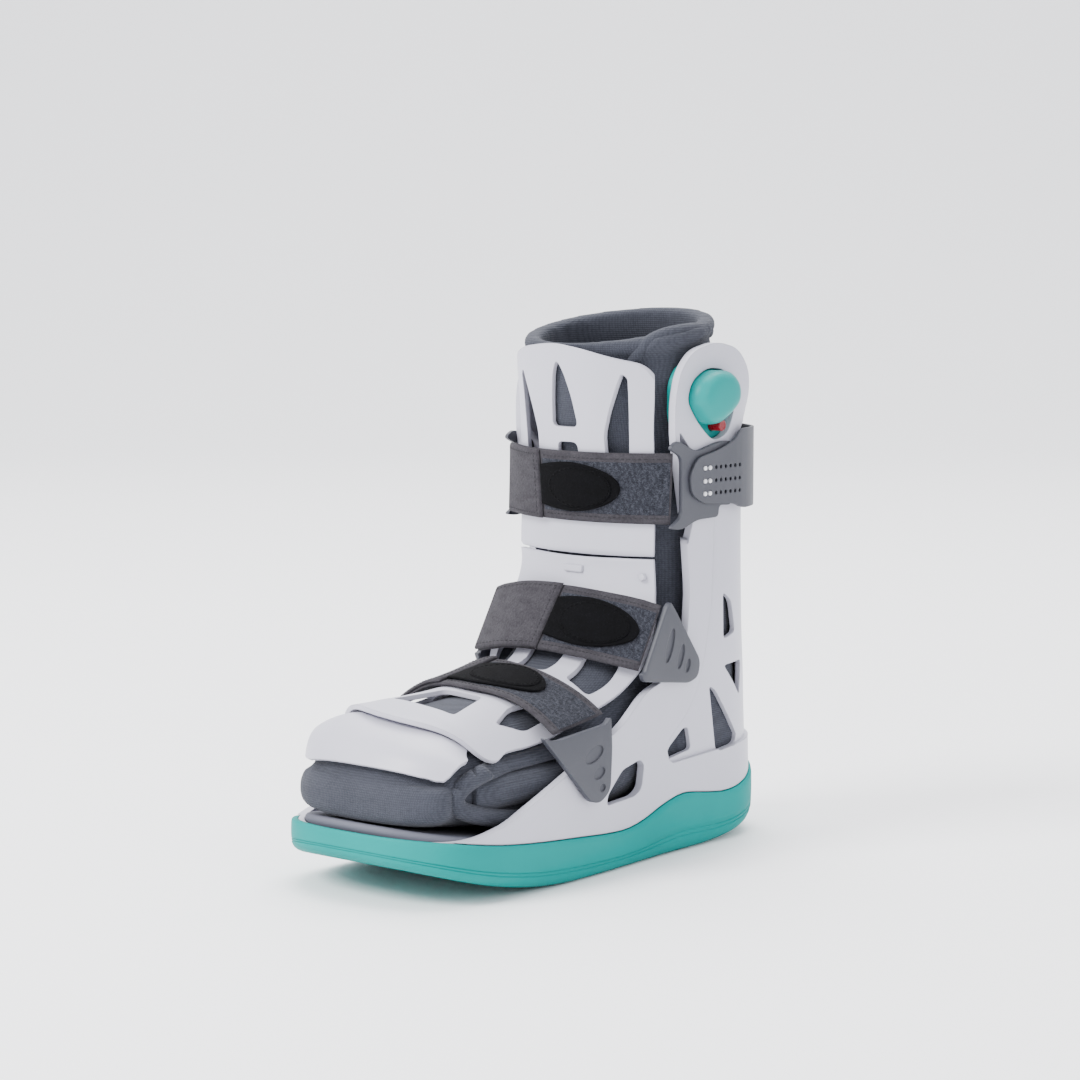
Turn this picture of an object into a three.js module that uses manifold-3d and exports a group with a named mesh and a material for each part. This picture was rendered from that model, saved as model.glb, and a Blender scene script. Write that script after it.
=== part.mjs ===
// A short pneumatic walking boot, standing on its sole.
// Millimetres. Z is up, the toe points to -Y, the heel to +Y, and the pump's side is +X.
// The origin lies on the floor under the middle of the sole.
// Tables hold shares: "along" of the sole's length from the toe, "up" of the boot's height,
// "out" of the half width that the table names.

import * as THREE from 'three';
import { mergeVertices } from 'three/addons/utils/BufferGeometryUtils.js';
import Module from 'manifold-3d';

const wasm = await Module();
wasm.setup();

// Driving dimensions

const gap = 0.3;
const soleLength = 290;
const ballHalf = 62;
const bootHeight = 278;

const sole = { lip: 33.5, toeRise: 21, heelRise: 13, flatFrom: 0.38, flatTo: 0.72, rim: 3, toeRound: 46, heelRound: 47 };
const bed = { height: 15, toeLift: 14, liftFrom: 0.43 };
const insole = { thickness: 6, inset: 2 };
const shell = { wall: 2.6, floor: 3, half: 54, cladding: 1.8, crown: 261 };
const liner = { wall: 7, roll: 2.6, footWall: 6, slack: 1.1, flapRoll: 4.5 };
const panel = { thickness: 2.5, half: 45, seam: 152, seamGap: 0.8 };
const toeCap = { thickness: 2.4, half: 47.5 };
const strap = { thickness: 2.3, fold: 2, tab: 1.6, end: 54, forefootEnd: 52.3, calfEnd: 50.6 };
const fitting = { thickness: 2, band: 1.4, pin: 1.2, pinProud: 0.7 };
const anchor = { thickness: 3.2, lean: 0.1 };
const pump = { plate: 3.4, bulge: 10 };
const button = { radius: 3, travel: 1.5, proud: 3.5, running: 0.35 };
const label = { width: 13, height: 9, thickness: 0.8, setBack: 0.25 };

// Curves through tables

function alongY(share) {
  return (share - 0.5) * soleLength;
}

function upZ(share) {
  return share * bootHeight;
}

function curve(rows, input, output) {
  const x = rows.map((row) => row[input]);
  const y = rows.map((row) => row[output]);
  const slope = x.map((_, i) => {
    const before = Math.max(i - 1, 0);
    const after = Math.min(i + 1, x.length - 1);
    return (y[after] - y[before]) / (x[after] - x[before]);
  });
  return (value) => {
    if (value <= x[0]) return y[0];
    const last = x.length - 1;
    if (value >= x[last]) return y[last];
    const i = x.findIndex((edge) => edge > value) - 1;
    const span = x[i + 1] - x[i];
    const t = (value - x[i]) / span;
    const rise = t * t * (3 - 2 * t);
    const leave = t * (1 - t) * (1 - t) * span * slope[i];
    const arrive = t * t * (t - 1) * span * slope[i + 1];
    return y[i] + (y[i + 1] - y[i]) * rise + leave + arrive;
  };
}

function smooth(value, from, to) {
  const t = THREE.MathUtils.clamp((value - from) / (to - from), 0, 1);
  return t * t * (3 - 2 * t);
}

// Solids from rings, prisms and cuts

function toSolid(points, faces) {
  let volume = 0;
  for (let i = 0; i < faces.length; i += 3) {
    const [a, b, c] = [points[faces[i]], points[faces[i + 1]], points[faces[i + 2]]];
    volume += a.dot(b.clone().cross(c));
  }
  const geometry = new THREE.BufferGeometry().setFromPoints(points);
  const order = volume < 0 ? faces.slice().reverse() : faces;
  geometry.setIndex(order);
  return geometryToSolid(geometry);
}

function geometryToSolid(source) {
  const geometry = source.clone();
  geometry.deleteAttribute('normal');
  geometry.deleteAttribute('uv');
  const merged = mergeVertices(geometry, 1e-4);
  const index = merged.index.array;
  const kept = [];
  for (let i = 0; i < index.length; i += 3) {
    const [a, b, c] = [index[i], index[i + 1], index[i + 2]];
    if (a !== b && b !== c && c !== a) kept.push(a, b, c);
  }
  return new wasm.Manifold(new wasm.Mesh({
    numProp: 3,
    vertProperties: new Float32Array(merged.attributes.position.array),
    triVerts: new Uint32Array(kept),
  }));
}

// A cap across a ring that is the same on both sides: rungs join each point to its mirror
function ladderCap(start, size) {
  const faces = [];
  const half = size / 2;
  for (let i = 0; i < half; i += 1) {
    const right = start + i;
    const rightNext = start + i + 1;
    const left = start + ((size - i) % size);
    const leftNext = start + size - i - 1;
    if (i > 0) faces.push(right, rightNext, left);
    faces.push(rightNext, leftNext, left);
  }
  return faces;
}

function fanCap(start, size) {
  const faces = [];
  for (let i = 1; i + 1 < size; i += 1) faces.push(start, start + i, start + i + 1);
  return faces;
}

function solidFromRings(rings, cap) {
  const size = rings[0].length;
  const faces = [];
  for (let level = 0; level + 1 < rings.length; level += 1) {
    for (let i = 0; i < size; i += 1) {
      const a = level * size + i;
      const b = level * size + ((i + 1) % size);
      faces.push(a, b, b + size, a, b + size, a + size);
    }
  }
  const first = cap(0, size);
  const last = cap((rings.length - 1) * size, size);
  faces.push(...first.reverse(), ...last);
  return toSolid(rings.flat(), faces);
}

function roundedShape(corners, radius) {
  if (radius === 0) return new THREE.Shape(corners.map(([x, y]) => new THREE.Vector2(x, y)));
  const shape = new THREE.Shape();
  corners.forEach((corner, i) => {
    const before = corners[(i + corners.length - 1) % corners.length];
    const after = corners[(i + 1) % corners.length];
    const here = new THREE.Vector2(...corner);
    const back = new THREE.Vector2(...before).sub(here);
    const ahead = new THREE.Vector2(...after).sub(here);
    const reach = Math.min(radius, back.length() * 0.45, ahead.length() * 0.45);
    const entry = here.clone().add(back.setLength(reach));
    const exit = here.clone().add(ahead.setLength(reach));
    if (i === 0) shape.moveTo(entry.x, entry.y);
    else shape.lineTo(entry.x, entry.y);
    shape.quadraticCurveTo(here.x, here.y, exit.x, exit.y);
  });
  shape.closePath();
  return shape;
}

function prism(corners, radius, depth) {
  const shape = roundedShape(corners, radius);
  return new THREE.ExtrudeGeometry(shape, { depth, bevelEnabled: false, curveSegments: 2 });
}

// A prism of [y, z] corners between two x
function prismX(corners, low, high, radius = 0.5) {
  const turn = new THREE.Matrix4().set(0, 0, 1, low, 1, 0, 0, 0, 0, 1, 0, 0, 0, 0, 0, 1);
  return geometryToSolid(prism(corners, radius, high - low).applyMatrix4(turn));
}

// A prism of [x, z] corners between two y
function prismY(corners, low, high, radius = 0.5) {
  const turn = new THREE.Matrix4().set(1, 0, 0, 0, 0, 0, -1, high, 0, 1, 0, 0, 0, 0, 0, 1);
  return geometryToSolid(prism(corners, radius, high - low).applyMatrix4(turn));
}

// A prism of [x, y] corners between two z
function prismZ(corners, low, high, radius = 0.5) {
  const turn = new THREE.Matrix4().makeTranslation(0, 0, low);
  return geometryToSolid(prism(corners, radius, high - low).applyMatrix4(turn));
}

// Rows of shares as [y, z] corners
function sideCorners(rows) {
  return rows.map((row) => [alongY(row.along), upZ(row.up)]);
}

function solidToGeometry(solid) {
  const { vertProperties, triVerts } = solid.getMesh();
  const geometry = new THREE.BufferGeometry();
  geometry.setAttribute('position', new THREE.BufferAttribute(vertProperties, 3));
  geometry.setIndex(new THREE.BufferAttribute(triVerts, 1));
  return geometry;
}

function mirrored(solid) {
  const geometry = solidToGeometry(solid).scale(-1, 1, 1);
  geometry.index.array.reverse();
  return geometryToSolid(geometry);
}

function mesh(name, solid, colour, roughness, metalness = 0) {
  const geometry = solidToGeometry(solid);
  geometry.computeVertexNormals();
  const material = new THREE.MeshStandardMaterial({ color: colour, roughness, metalness });
  const result = new THREE.Mesh(geometry, material);
  result.name = name;
  return result;
}

// The sole's outline and side curves

const solePlan = [
  { along: 0, out: 0.9 },
  { along: 0.12, out: 0.975 },
  { along: 0.24, out: 1 },
  { along: 0.4, out: 0.95 },
  { along: 0.5, out: 0.9 },
  { along: 0.64, out: 0.83 },
  { along: 0.78, out: 0.79 },
  { along: 0.88, out: 0.765 },
  { along: 1, out: 0.75 },
];

// "lip" is the sidewall's top as a share of its height at the toe
const sidewall = [
  { along: 0, lip: 1 },
  { along: 0.06, lip: 0.94 },
  { along: 0.19, lip: 0.78 },
  { along: 0.38, lip: 0.64 },
  { along: 0.5, lip: 0.57 },
  { along: 0.56, lip: 0.63 },
  { along: 0.63, lip: 0.8 },
  { along: 0.69, lip: 0.89 },
  { along: 0.76, lip: 0.82 },
  { along: 0.82, lip: 0.77 },
  { along: 0.89, lip: 0.86 },
  { along: 0.95, lip: 1.02 },
  { along: 1, lip: 1.14 },
];

const outShare = curve(solePlan, 'along', 'out');
const lipShare = curve(sidewall, 'along', 'lip');

function shareOf(y) {
  return y / soleLength + 0.5;
}

function soleHalf(y) {
  return outShare(shareOf(y)) * ballHalf;
}

function sidewallTop(y) {
  return lipShare(shareOf(y)) * sole.lip;
}

function soleBottom(y) {
  const share = shareOf(y);
  const toe = Math.max(0, (sole.flatFrom - share) / sole.flatFrom);
  const heel = Math.max(0, (share - sole.flatTo) / (1 - sole.flatTo));
  return sole.toeRise * toe * toe + sole.heelRise * heel * heel;
}

function bedTop(y) {
  const toe = Math.max(0, (bed.liftFrom - shareOf(y)) / bed.liftFrom);
  return bed.height + bed.toeLift * toe * toe;
}

// A ring round the foot, the same on both sides, from the toe's tip round the heel and back
function footRing({ inset, heel = soleLength / 2, half = soleHalf, height, heelPower = 2 }) {
  const toeSteps = 4;
  const sideSteps = 5;
  const heelSteps = 4;
  const toePower = 2.7;
  const toe = -soleLength / 2 + inset;
  const toeRound = sole.toeRound - inset / 2;
  const heelRound = sole.heelRound - inset / 2;
  const right = [];
  const add = (y, x) => right.push(new THREE.Vector3(x, y, 0));
  for (let i = 0; i <= toeSteps; i += 1) {
    const angle = (i / toeSteps) * Math.PI / 2;
    const y = toe + toeRound * (1 - Math.cos(angle) ** (2 / toePower));
    add(y, (half(y) - inset) * Math.sin(angle) ** (2 / toePower));
  }
  const sideFrom = toe + toeRound;
  const sideTo = heel - heelRound;
  for (let i = 1; i < sideSteps; i += 1) {
    const y = sideFrom + (sideTo - sideFrom) * (i / sideSteps);
    add(y, half(y) - inset);
  }
  for (let i = heelSteps; i >= 0; i -= 1) {
    const angle = (i / heelSteps) * Math.PI / 2;
    const y = heel - heelRound * (1 - Math.cos(angle) ** (2 / heelPower));
    add(y, i === 0 ? 0 : (half(y) - inset) * Math.sin(angle) ** (2 / heelPower));
  }
  right[0].x = 0;
  const left = right.slice(1, -1).reverse().map((p) => new THREE.Vector3(-p.x, p.y, 0));
  const ring = [...right, ...left];
  ring.forEach((p) => { p.z = height(p.y); });
  return ring;
}

function outsole() {
  const levels = [
    { rise: 0, inset: 4 },
    { rise: 0.1, inset: 1.4 },
    { rise: 0.28, inset: 0.2 },
    { rise: 0.6, inset: 0 },
    { rise: 1.3, inset: 1 },
  ];
  const rings = levels.map(({ rise, inset }) => footRing({
    inset,
    heel: soleLength / 2 - inset,
    height: (y) => soleBottom(y) + (sidewallTop(y) - soleBottom(y)) * rise,
  }));
  const body = solidFromRings(rings, ladderCap);
  const below = prismX(sidewallCorners(0, -sole.lip), -ballHalf * 2, ballHalf * 2, 0);
  return body.intersect(below).subtract(shellLoft(sole.rim, -gap));
}

// The shell: a tub whose walls grow into two uprights

const shellBack = [
  { up: 0, along: 1 },
  { up: 0.1, along: 1 },
  { up: 0.18, along: 0.992 },
  { up: 0.29, along: 0.972 },
  { up: 0.4, along: 0.957 },
  { up: 0.78, along: 0.952 },
  { up: 0.95, along: 0.948 },
];

const shellProfile = [
  { along: 0.02, up: 0.02 },
  { along: 0.02, up: 0.112 },
  { along: 0.09, up: 0.112 },
  { along: 0.128, up: 0.118 },
  { along: 0.185, up: 0.132 },
  { along: 0.228, up: 0.151 },
  { along: 0.341, up: 0.194 },
  { along: 0.431, up: 0.23 },
  { along: 0.5, up: 0.259 },
  { along: 0.566, up: 0.313 },
  { along: 0.62, up: 0.33 },
  { along: 0.676, up: 0.396 },
  { along: 0.683, up: 0.486 },
  { along: 0.672, up: 0.597 },
  { along: 0.641, up: 0.766 },
  { along: 0.641, up: 0.838 },
  { along: 0.655, up: 0.89 },
  { along: 0.69, up: 0.926 },
  { along: 0.755, up: 0.94 },
  { along: 0.815, up: 0.926 },
  { along: 0.85, up: 0.885 },
  { along: 0.855, up: 0.835 },
  { along: 0.845, up: 0.766 },
  { along: 0.845, up: 0.7 },
  { along: 0.875, up: 0.63 },
  { along: 0.93, up: 0.6 },
  { along: 1.03, up: 0.595 },
  { along: 1.03, up: 0.02 },
];

// Behind the raised band the wall is set back, down to a ledge over the heel
const setBack = [
  { along: 0.86, up: 0.8 },
  { along: 0.754, up: 0.7 },
  { along: 0.745, up: 0.464 },
  { along: 0.728, up: 0.371 },
  { along: 0.712, up: 0.299 },
  { along: 0.684, up: 0.256 },
  { along: 0.63, up: 0.207 },
  { along: 0.645, up: 0.169 },
  { along: 0.86, up: 0.18 },
  { along: 1.1, up: 0.195 },
  { along: 1.1, up: 0.8 },
];

const shellWindows = {
  foreWindow: [
    { along: 0.452, up: 0.122 },
    { along: 0.455, up: 0.14 },
    { along: 0.5, up: 0.18 },
    { along: 0.552, up: 0.191 },
    { along: 0.566, up: 0.18 },
    { along: 0.559, up: 0.137 },
    { along: 0.538, up: 0.126 },
  ],
  wedge: [
    { along: 0.638, up: 0.176 },
    { along: 0.645, up: 0.198 },
    { along: 0.686, up: 0.23 },
    { along: 0.7, up: 0.23 },
    { along: 0.714, up: 0.187 },
  ],
  truss: [
    { along: 0.752, up: 0.302 },
    { along: 0.772, up: 0.291 },
    { along: 0.855, up: 0.194 },
    { along: 0.848, up: 0.178 },
    { along: 0.79, up: 0.172 },
  ],
  highWindow: [
    { along: 0.784, up: 0.475 },
    { along: 0.81, up: 0.455 },
    { along: 0.824, up: 0.396 },
    { along: 0.786, up: 0.385 },
  ],
  smallWedge: [
    { along: 0.79, up: 0.336 },
    { along: 0.855, up: 0.34 },
    { along: 0.855, up: 0.27 },
  ],
  uprightSlot: [
    { along: 0.652, up: 0.782 },
    { along: 0.69, up: 0.738 },
    { along: 0.693, up: 0.62 },
    { along: 0.676, up: 0.568 },
    { along: 0.667, up: 0.62 },
    { along: 0.655, up: 0.738 },
  ],
};

const pumpHole = [
  { along: 0.672, up: 0.835 },
  { along: 0.686, up: 0.871 },
  { along: 0.728, up: 0.894 },
  { along: 0.776, up: 0.888 },
  { along: 0.803, up: 0.863 },
  { along: 0.807, up: 0.81 },
  { along: 0.785, up: 0.767 },
  { along: 0.745, up: 0.757 },
  { along: 0.705, up: 0.79 },
];

const backShare = curve(shellBack, 'up', 'along');

// "inset" is how far the surface lies inside the sole's outline low down
function shellRing(inset, height) {
  const depth = inset - sole.rim - gap;
  const upperHalf = shell.half - shell.cladding - depth;
  const level = height(0);
  const rise = smooth(level, upZ(0.1), upZ(0.4));
  const half = (y) => THREE.MathUtils.lerp(soleHalf(y), upperHalf + inset, rise);
  const heel = alongY(backShare(level / bootHeight)) - inset;
  const heelPower = 2 + 1.3 * smooth(level, upZ(0.785), upZ(0.88));
  return footRing({ inset, heel, half, height, heelPower });
}

const shellLevels = [0, 0.04, 0.12, 0.22, 0.4, 0.78, 0.86, 1.02];

function shellHeights(floorLift) {
  const top = shell.crown;
  return shellLevels.map((share) => (y) => {
    const low = bedTop(y) + gap + floorLift;
    return low + (top - low) * share;
  });
}

function shellLoft(inset, floorLift) {
  return solidFromRings(shellHeights(floorLift).map((height) => shellRing(inset, height)), ladderCap);
}

function besideShell(rows, radius) {
  return prismX(sideCorners(rows), -ballHalf * 2, ballHalf * 2, radius);
}

const coreInset = sole.rim + gap;

function sidewallCorners(lift, low) {
  const steps = 24;
  const corners = [];
  for (let i = 0; i <= steps; i += 1) {
    const y = alongY(-0.02 + (1.04 * i) / steps);
    corners.push([y, sidewallTop(y) + lift]);
  }
  return [...corners, [alongY(1.02), low], [alongY(-0.02), low]];
}

function shellSolid() {
  const core = shellLoft(coreInset, 0);
  const raised = shellLoft(coreInset - shell.cladding, 0)
    .subtract(prismX(sidewallCorners(2 * gap, -10), -ballHalf * 2, ballHalf * 2, 0))
    .subtract(besideShell(setBack, 4));
  const hollow = shellLoft(coreInset + shell.wall, shell.floor);
  let solid = core.add(raised).subtract(hollow).intersect(besideShell(shellProfile, 5));
  Object.values(shellWindows).forEach((rows) => {
    solid = solid.subtract(besideShell(rows, 2.5));
  });
  return solid.subtract(prismX(sideCorners(pumpHole), 0, ballHalf * 2, 4));
}

// What goes inside the shell keeps to this cavity, and is free above the uprights
function shellCavity() {
  const cavity = shellLoft(coreInset + shell.wall + gap, shell.floor + gap);
  const above = prismX([
    [alongY(0), shell.crown + gap],
    [alongY(1.1), shell.crown + gap],
    [alongY(1.1), bootHeight * 1.2],
    [alongY(0), bootHeight * 1.2],
  ], -ballHalf * 2, ballHalf * 2);
  return cavity.add(above);
}

function insoleSolid() {
  const low = (y) => bedTop(y) + gap + shell.floor + gap;
  const inset = coreInset + shell.wall + gap;
  const rings = [
    { lift: 0, trim: insole.inset },
    { lift: 0.35, trim: 0 },
    { lift: 0.75, trim: 0 },
    { lift: 1, trim: insole.inset },
  ].map(({ lift, trim }) => footRing({
    inset: inset + trim,
    heel: soleLength / 2 - inset - trim - 1,
    height: (y) => low(y) + insole.thickness * lift,
  }));
  return solidFromRings(rings, ladderCap);
}

// The hard front: a surface swept down the shin and along the instep

// Rows run along the middle; "half" widens the surface, and at one half width from the middle
// it has fallen by "drop", as a share of that half width, along a curve of the given power.
// "tilt" lowers it towards +X and raises it towards -X, as a foot's inner side is the higher one
const instepLine = [
  { along: 0.586, up: 0.545, half: 1, drop: 0.22, power: 2.2, tilt: 0 },
  { along: 0.588, up: 0.522, half: 1, drop: 0.22, power: 2.2, tilt: 0 },
  { along: 0.583, up: 0.493, half: 1.04, drop: 0.21, power: 2, tilt: 0 },
  { along: 0.569, up: 0.463, half: 1.12, drop: 0.2, power: 2, tilt: 0 },
  { along: 0.545, up: 0.419, half: 1.17, drop: 0.2, power: 2, tilt: 0 },
  { along: 0.522, up: 0.387, half: 1.12, drop: 0.25, power: 2.1, tilt: 0.005 },
  { along: 0.493, up: 0.361, half: 1.02, drop: 0.32, power: 2.3, tilt: 0.01 },
  { along: 0.431, up: 0.345, half: 0.98, drop: 0.38, power: 2.7, tilt: 0.03 },
  { along: 0.355, up: 0.332, half: 1, drop: 0.41, power: 3, tilt: 0.045 },
  { along: 0.293, up: 0.324, half: 1, drop: 0.41, power: 3.2, tilt: 0.06 },
  { along: 0.235, up: 0.319, half: 1, drop: 0.38, power: 3.3, tilt: 0.08 },
  { along: 0.197, up: 0.316, half: 1.06, drop: 0.33, power: 3.4, tilt: 0.095 },
  { along: 0.17, up: 0.313, half: 1.03, drop: 0.29, power: 3.5, tilt: 0.1 },
  { along: 0.15, up: 0.312, half: 0.84, drop: 0.26, power: 3.5, tilt: 0.1 },
  { along: 0.132, up: 0.311, half: 0.6, drop: 0.24, power: 3.5, tilt: 0.1 },
  { along: 0.118, up: 0.3105, half: 0.36, drop: 0.24, power: 3.5, tilt: 0.1 },
  { along: 0.112, up: 0.31, half: 0.12, drop: 0.24, power: 3.5, tilt: 0.1 },
];

const shinLine = [
  { along: 0.536, up: 0.955, half: 1.04, drop: 0.42, power: 2.3, tilt: 0 },
  { along: 0.545, up: 0.903, half: 1.04, drop: 0.41, power: 2.3, tilt: 0 },
  { along: 0.557, up: 0.84, half: 1.02, drop: 0.38, power: 2.3, tilt: 0 },
  { along: 0.567, up: 0.775, half: 1, drop: 0.34, power: 2.3, tilt: 0 },
  { along: 0.575, up: 0.71, half: 1, drop: 0.3, power: 2.3, tilt: 0 },
  { along: 0.583, up: 0.62, half: 1, drop: 0.25, power: 2.2, tilt: 0 },
  { along: 0.586, up: 0.55, half: 1, drop: 0.22, power: 2.2, tilt: 0 },
];

const toeCapLine = [
  { along: 0.183, up: 0.3, half: 0.76, drop: 0.3, power: 3.5, tilt: 0.1 },
  { along: 0.155, up: 0.298, half: 0.84, drop: 0.28, power: 3.5, tilt: 0.1 },
  { along: 0.128, up: 0.295, half: 0.97, drop: 0.2, power: 3.5, tilt: 0.1 },
  { along: 0.1, up: 0.285, half: 1, drop: 0.17, power: 3.5, tilt: 0.09 },
  { along: 0.076, up: 0.268, half: 1, drop: 0.2, power: 3.4, tilt: 0.06 },
  { along: 0.057, up: 0.247, half: 0.98, drop: 0.25, power: 3.2, tilt: 0.03 },
  { along: 0.046, up: 0.228, half: 0.93, drop: 0.28, power: 3, tilt: 0.01 },
  { along: 0.042, up: 0.216, half: 0.8, drop: 0.3, power: 3, tilt: 0 },
  { along: 0.04, up: 0.21, half: 0.58, drop: 0.3, power: 3, tilt: 0 },
];

function bowed({ drop, power, tilt }, x) {
  const share = Math.abs(x) / panel.half;
  return {
    fall: drop * panel.half * share ** power + tilt * x,
    lean: Math.sign(x) * power * drop * share ** (power - 1) + tilt,
  };
}

// A point on a swept surface, "out" from the middle, raised along its own normal
function sweptPoint(rows, index, x, lift) {
  const here = rows[index];
  const before = rows[Math.max(index - 1, 0)];
  const after = rows[Math.min(index + 1, rows.length - 1)];
  const run = new THREE.Vector2(alongY(after.along) - alongY(before.along), upZ(after.up) - upZ(before.up));
  run.normalize();
  const normal = new THREE.Vector2(run.y, -run.x);
  const { fall, lean } = bowed(here, x);
  const scale = lift / Math.hypot(1, lean);
  return new THREE.Vector3(
    x + lean * scale,
    alongY(here.along) + normal.x * (scale - fall),
    upZ(here.up) + normal.y * (scale - fall),
  );
}

function sweptSlab(rows, halfWidth, inner, outer, grow = 0, steps = 7) {
  const rings = rows.map((row, index) => {
    const half = row.half * halfWidth + grow;
    const top = [];
    const under = [];
    for (let i = 0; i <= steps; i += 1) {
      const x = half * ((2 * i) / steps - 1);
      top.push(sweptPoint(rows, index, x, outer));
      under.push(sweptPoint(rows, index, x, inner));
    }
    return [...top, ...under.reverse()];
  });
  return solidFromRings(rings, (start, size) => {
    const faces = [];
    for (let i = 0; i + 1 < size / 2; i += 1) {
      const a = start + i;
      const b = start + size - 1 - i;
      faces.push(a, a + 1, b, a + 1, b - 1, b);
    }
    return faces;
  });
}

// Windows as [x, y] or [x, z] corners, mirrored where "both" is set
const shinWindows = [
  { both: false, rows: [[-0.03, 0.91], [0.05, 0.885], [0.12, 0.84], [0.17, 0.785], [-0.21, 0.785], [-0.17, 0.84], [-0.11, 0.885]] },
  { both: false, rows: [[-0.155, 0.757], [0.14, 0.757], [0.17, 0.66], [-0.13, 0.66]] },
  { both: true, rows: [[0.73, 0.886], [0.79, 0.878], [0.75, 0.7], [0.5, 0.7], [0.49, 0.773], [0.56, 0.813], [0.65, 0.853]] },
];

const instepWindows = [
  { both: false, rows: [[-0.46, 0.197], [0.46, 0.197], [0.28, 0.3], [-0.28, 0.3]] },
  { both: true, rows: [[0.74, 0.252], [0.89, 0.3], [0.86, 0.36], [0.62, 0.36], [0.6, 0.31]] },
  { both: false, rows: [[-0.22, 0.463], [0.24, 0.463], [0.26, 0.56], [-0.24, 0.56]] },
  { both: true, rows: [[0.52, 0.47], [0.84, 0.47], [0.92, 0.555], [0.5, 0.555]] },
];

function cutPairs(solid, windows, place) {
  let result = solid;
  windows.forEach(({ both, rows }) => {
    const cutter = place(rows);
    result = result.subtract(cutter);
    if (both) result = result.subtract(mirrored(cutter));
  });
  return result;
}

function shinPanel() {
  const slab = sweptSlab(shinLine, panel.half, -panel.thickness, 0);
  const edge = panel.seam + panel.seamGap;
  const outline = prismY([
    [-panel.half * 1.2, edge],
    [panel.half * 1.2, edge],
    [panel.half * 1.2, upZ(0.82)],
    [panel.half * 1.04, upZ(0.87)],
    [panel.half * 0.93, upZ(0.903)],
    [panel.half * 0.6, upZ(0.916)],
    [panel.half * 0.3, upZ(0.93)],
    [-panel.half * 0.1, upZ(0.94)],
    [-panel.half * 0.6, upZ(0.93)],
    [-panel.half * 0.95, upZ(0.912)],
    [-panel.half * 1.04, upZ(0.88)],
    [-panel.half * 1.2, upZ(0.82)],
  ], alongY(0.3), alongY(0.9), 2);
  const place = (rows) => prismY(
    rows.map(([out, up]) => [out * panel.half, upZ(up)]),
    alongY(0.3),
    alongY(0.9),
    2.5,
  );
  return cutPairs(slab.intersect(outline), shinWindows, place);
}

function instepPanel() {
  const slab = sweptSlab(instepLine, panel.half, -panel.thickness, 0);
  const above = prismX([
    [alongY(0), panel.seam],
    [alongY(1), panel.seam],
    [alongY(1), bootHeight],
    [alongY(0), bootHeight],
  ], -ballHalf * 2, ballHalf * 2);
  const place = (rows) => prismZ(
    rows.map(([out, along]) => [out * panel.half, alongY(along)]),
    upZ(0.15),
    upZ(0.5),
    2,
  );
  return cutPairs(slab.subtract(above), instepWindows, place);
}

function toeCapSolid() {
  const slab = sweptSlab(toeCapLine, toeCap.half, -toeCap.thickness, 0);
  const cover = sweptSlab(instepLine, panel.half, -panel.thickness - 4 * gap, 40, 4);
  return slab.subtract(cover);
}

// The liner: a padded sock with an open leg

const legLine = [
  { seat: true, front: 0.62, back: 0.93, half: 0.9, tilt: 0 },
  { up: 0.12, front: 0.6, back: 0.955, half: 0.97, tilt: 0 },
  { up: 0.2, front: 0.58, back: 0.955, half: 1, tilt: 0 },
  { up: 0.36, front: 0.58, back: 0.945, half: 1, tilt: 0 },
  { up: 0.44, front: 0.6, back: 0.94, half: 1, tilt: 0 },
  { up: 0.53, front: 0.603, back: 0.938, half: 1, tilt: 0 },
  { up: 0.65, front: 0.594, back: 0.935, half: 1, tilt: 0.1 },
  { up: 0.78, front: 0.578, back: 0.925, half: 1, tilt: 0.3 },
  { up: 0.88, front: 0.558, back: 0.893, half: 1, tilt: 0.8 },
];
const rim = { up: 0.968, front: 0.548, back: 0.872, half: 0.97, drop: 0.027, depth: 0.036 };

function linerLow(y) {
  return bedTop(y) + shell.floor + insole.thickness + 3 * gap;
}

function legRing(row, inset, lift) {
  const steps = 9;
  const front = alongY(row.front) + inset;
  const back = alongY(row.back) - inset;
  const half = row.half * (shell.half - shell.cladding - shell.wall - liner.slack) - inset;
  const middle = (front + back) / 2;
  const ring = [];
  for (let i = 0; i < steps * 2; i += 1) {
    const angle = (i / steps) * Math.PI;
    const x = half * Math.sin(angle);
    const y = middle - (middle - front) * Math.cos(angle);
    const tilt = row.tilt * rim.drop * bootHeight * ((y - middle) / (back - middle));
    const z = row.seat ? linerLow(y) : upZ(row.up);
    ring.push(new THREE.Vector3(x, y, z + tilt + lift));
  }
  return ring;
}

function legOuter() {
  const rimRow = { ...rim, tilt: 1 };
  const roll = rim.depth * bootHeight;
  return solidFromRings([
    ...legLine.map((row) => legRing(row, 0, 0)),
    legRing(rimRow, 0.8, -roll),
    legRing(rimRow, -liner.roll * 0.8, -roll * 0.75),
    legRing(rimRow, -liner.roll, -roll * 0.4),
    legRing(rimRow, -liner.roll * 0.4, -roll * 0.08),
    legRing(rimRow, liner.wall * 0.4, 0),
    legRing(rimRow, liner.wall * 0.9, -roll * 0.2),
  ], ladderCap);
}

function legInner() {
  const rimRow = { ...rim, tilt: 1 };
  return solidFromRings([
    legRing(legLine[0], liner.wall, liner.footWall),
    ...legLine.slice(1).map((row) => legRing(row, liner.wall, 0)),
    legRing(rimRow, liner.wall, -rim.depth * bootHeight),
    legRing(rimRow, liner.wall, 20),
  ], ladderCap);
}

const footLine = [
  { along: 0.028, top: 0.205 },
  { along: 0.069, top: 0.25 },
  { along: 0.121, top: 0.292 },
  { along: 0.293, top: 0.312 },
  { along: 0.431, top: 0.334 },
  { along: 0.5, top: 0.352 },
  { along: 0.541, top: 0.4 },
  { along: 0.6, top: 0.44 },
  { along: 0.75, top: 0.44 },
];
const footTop = curve(footLine, 'along', 'top');

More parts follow.
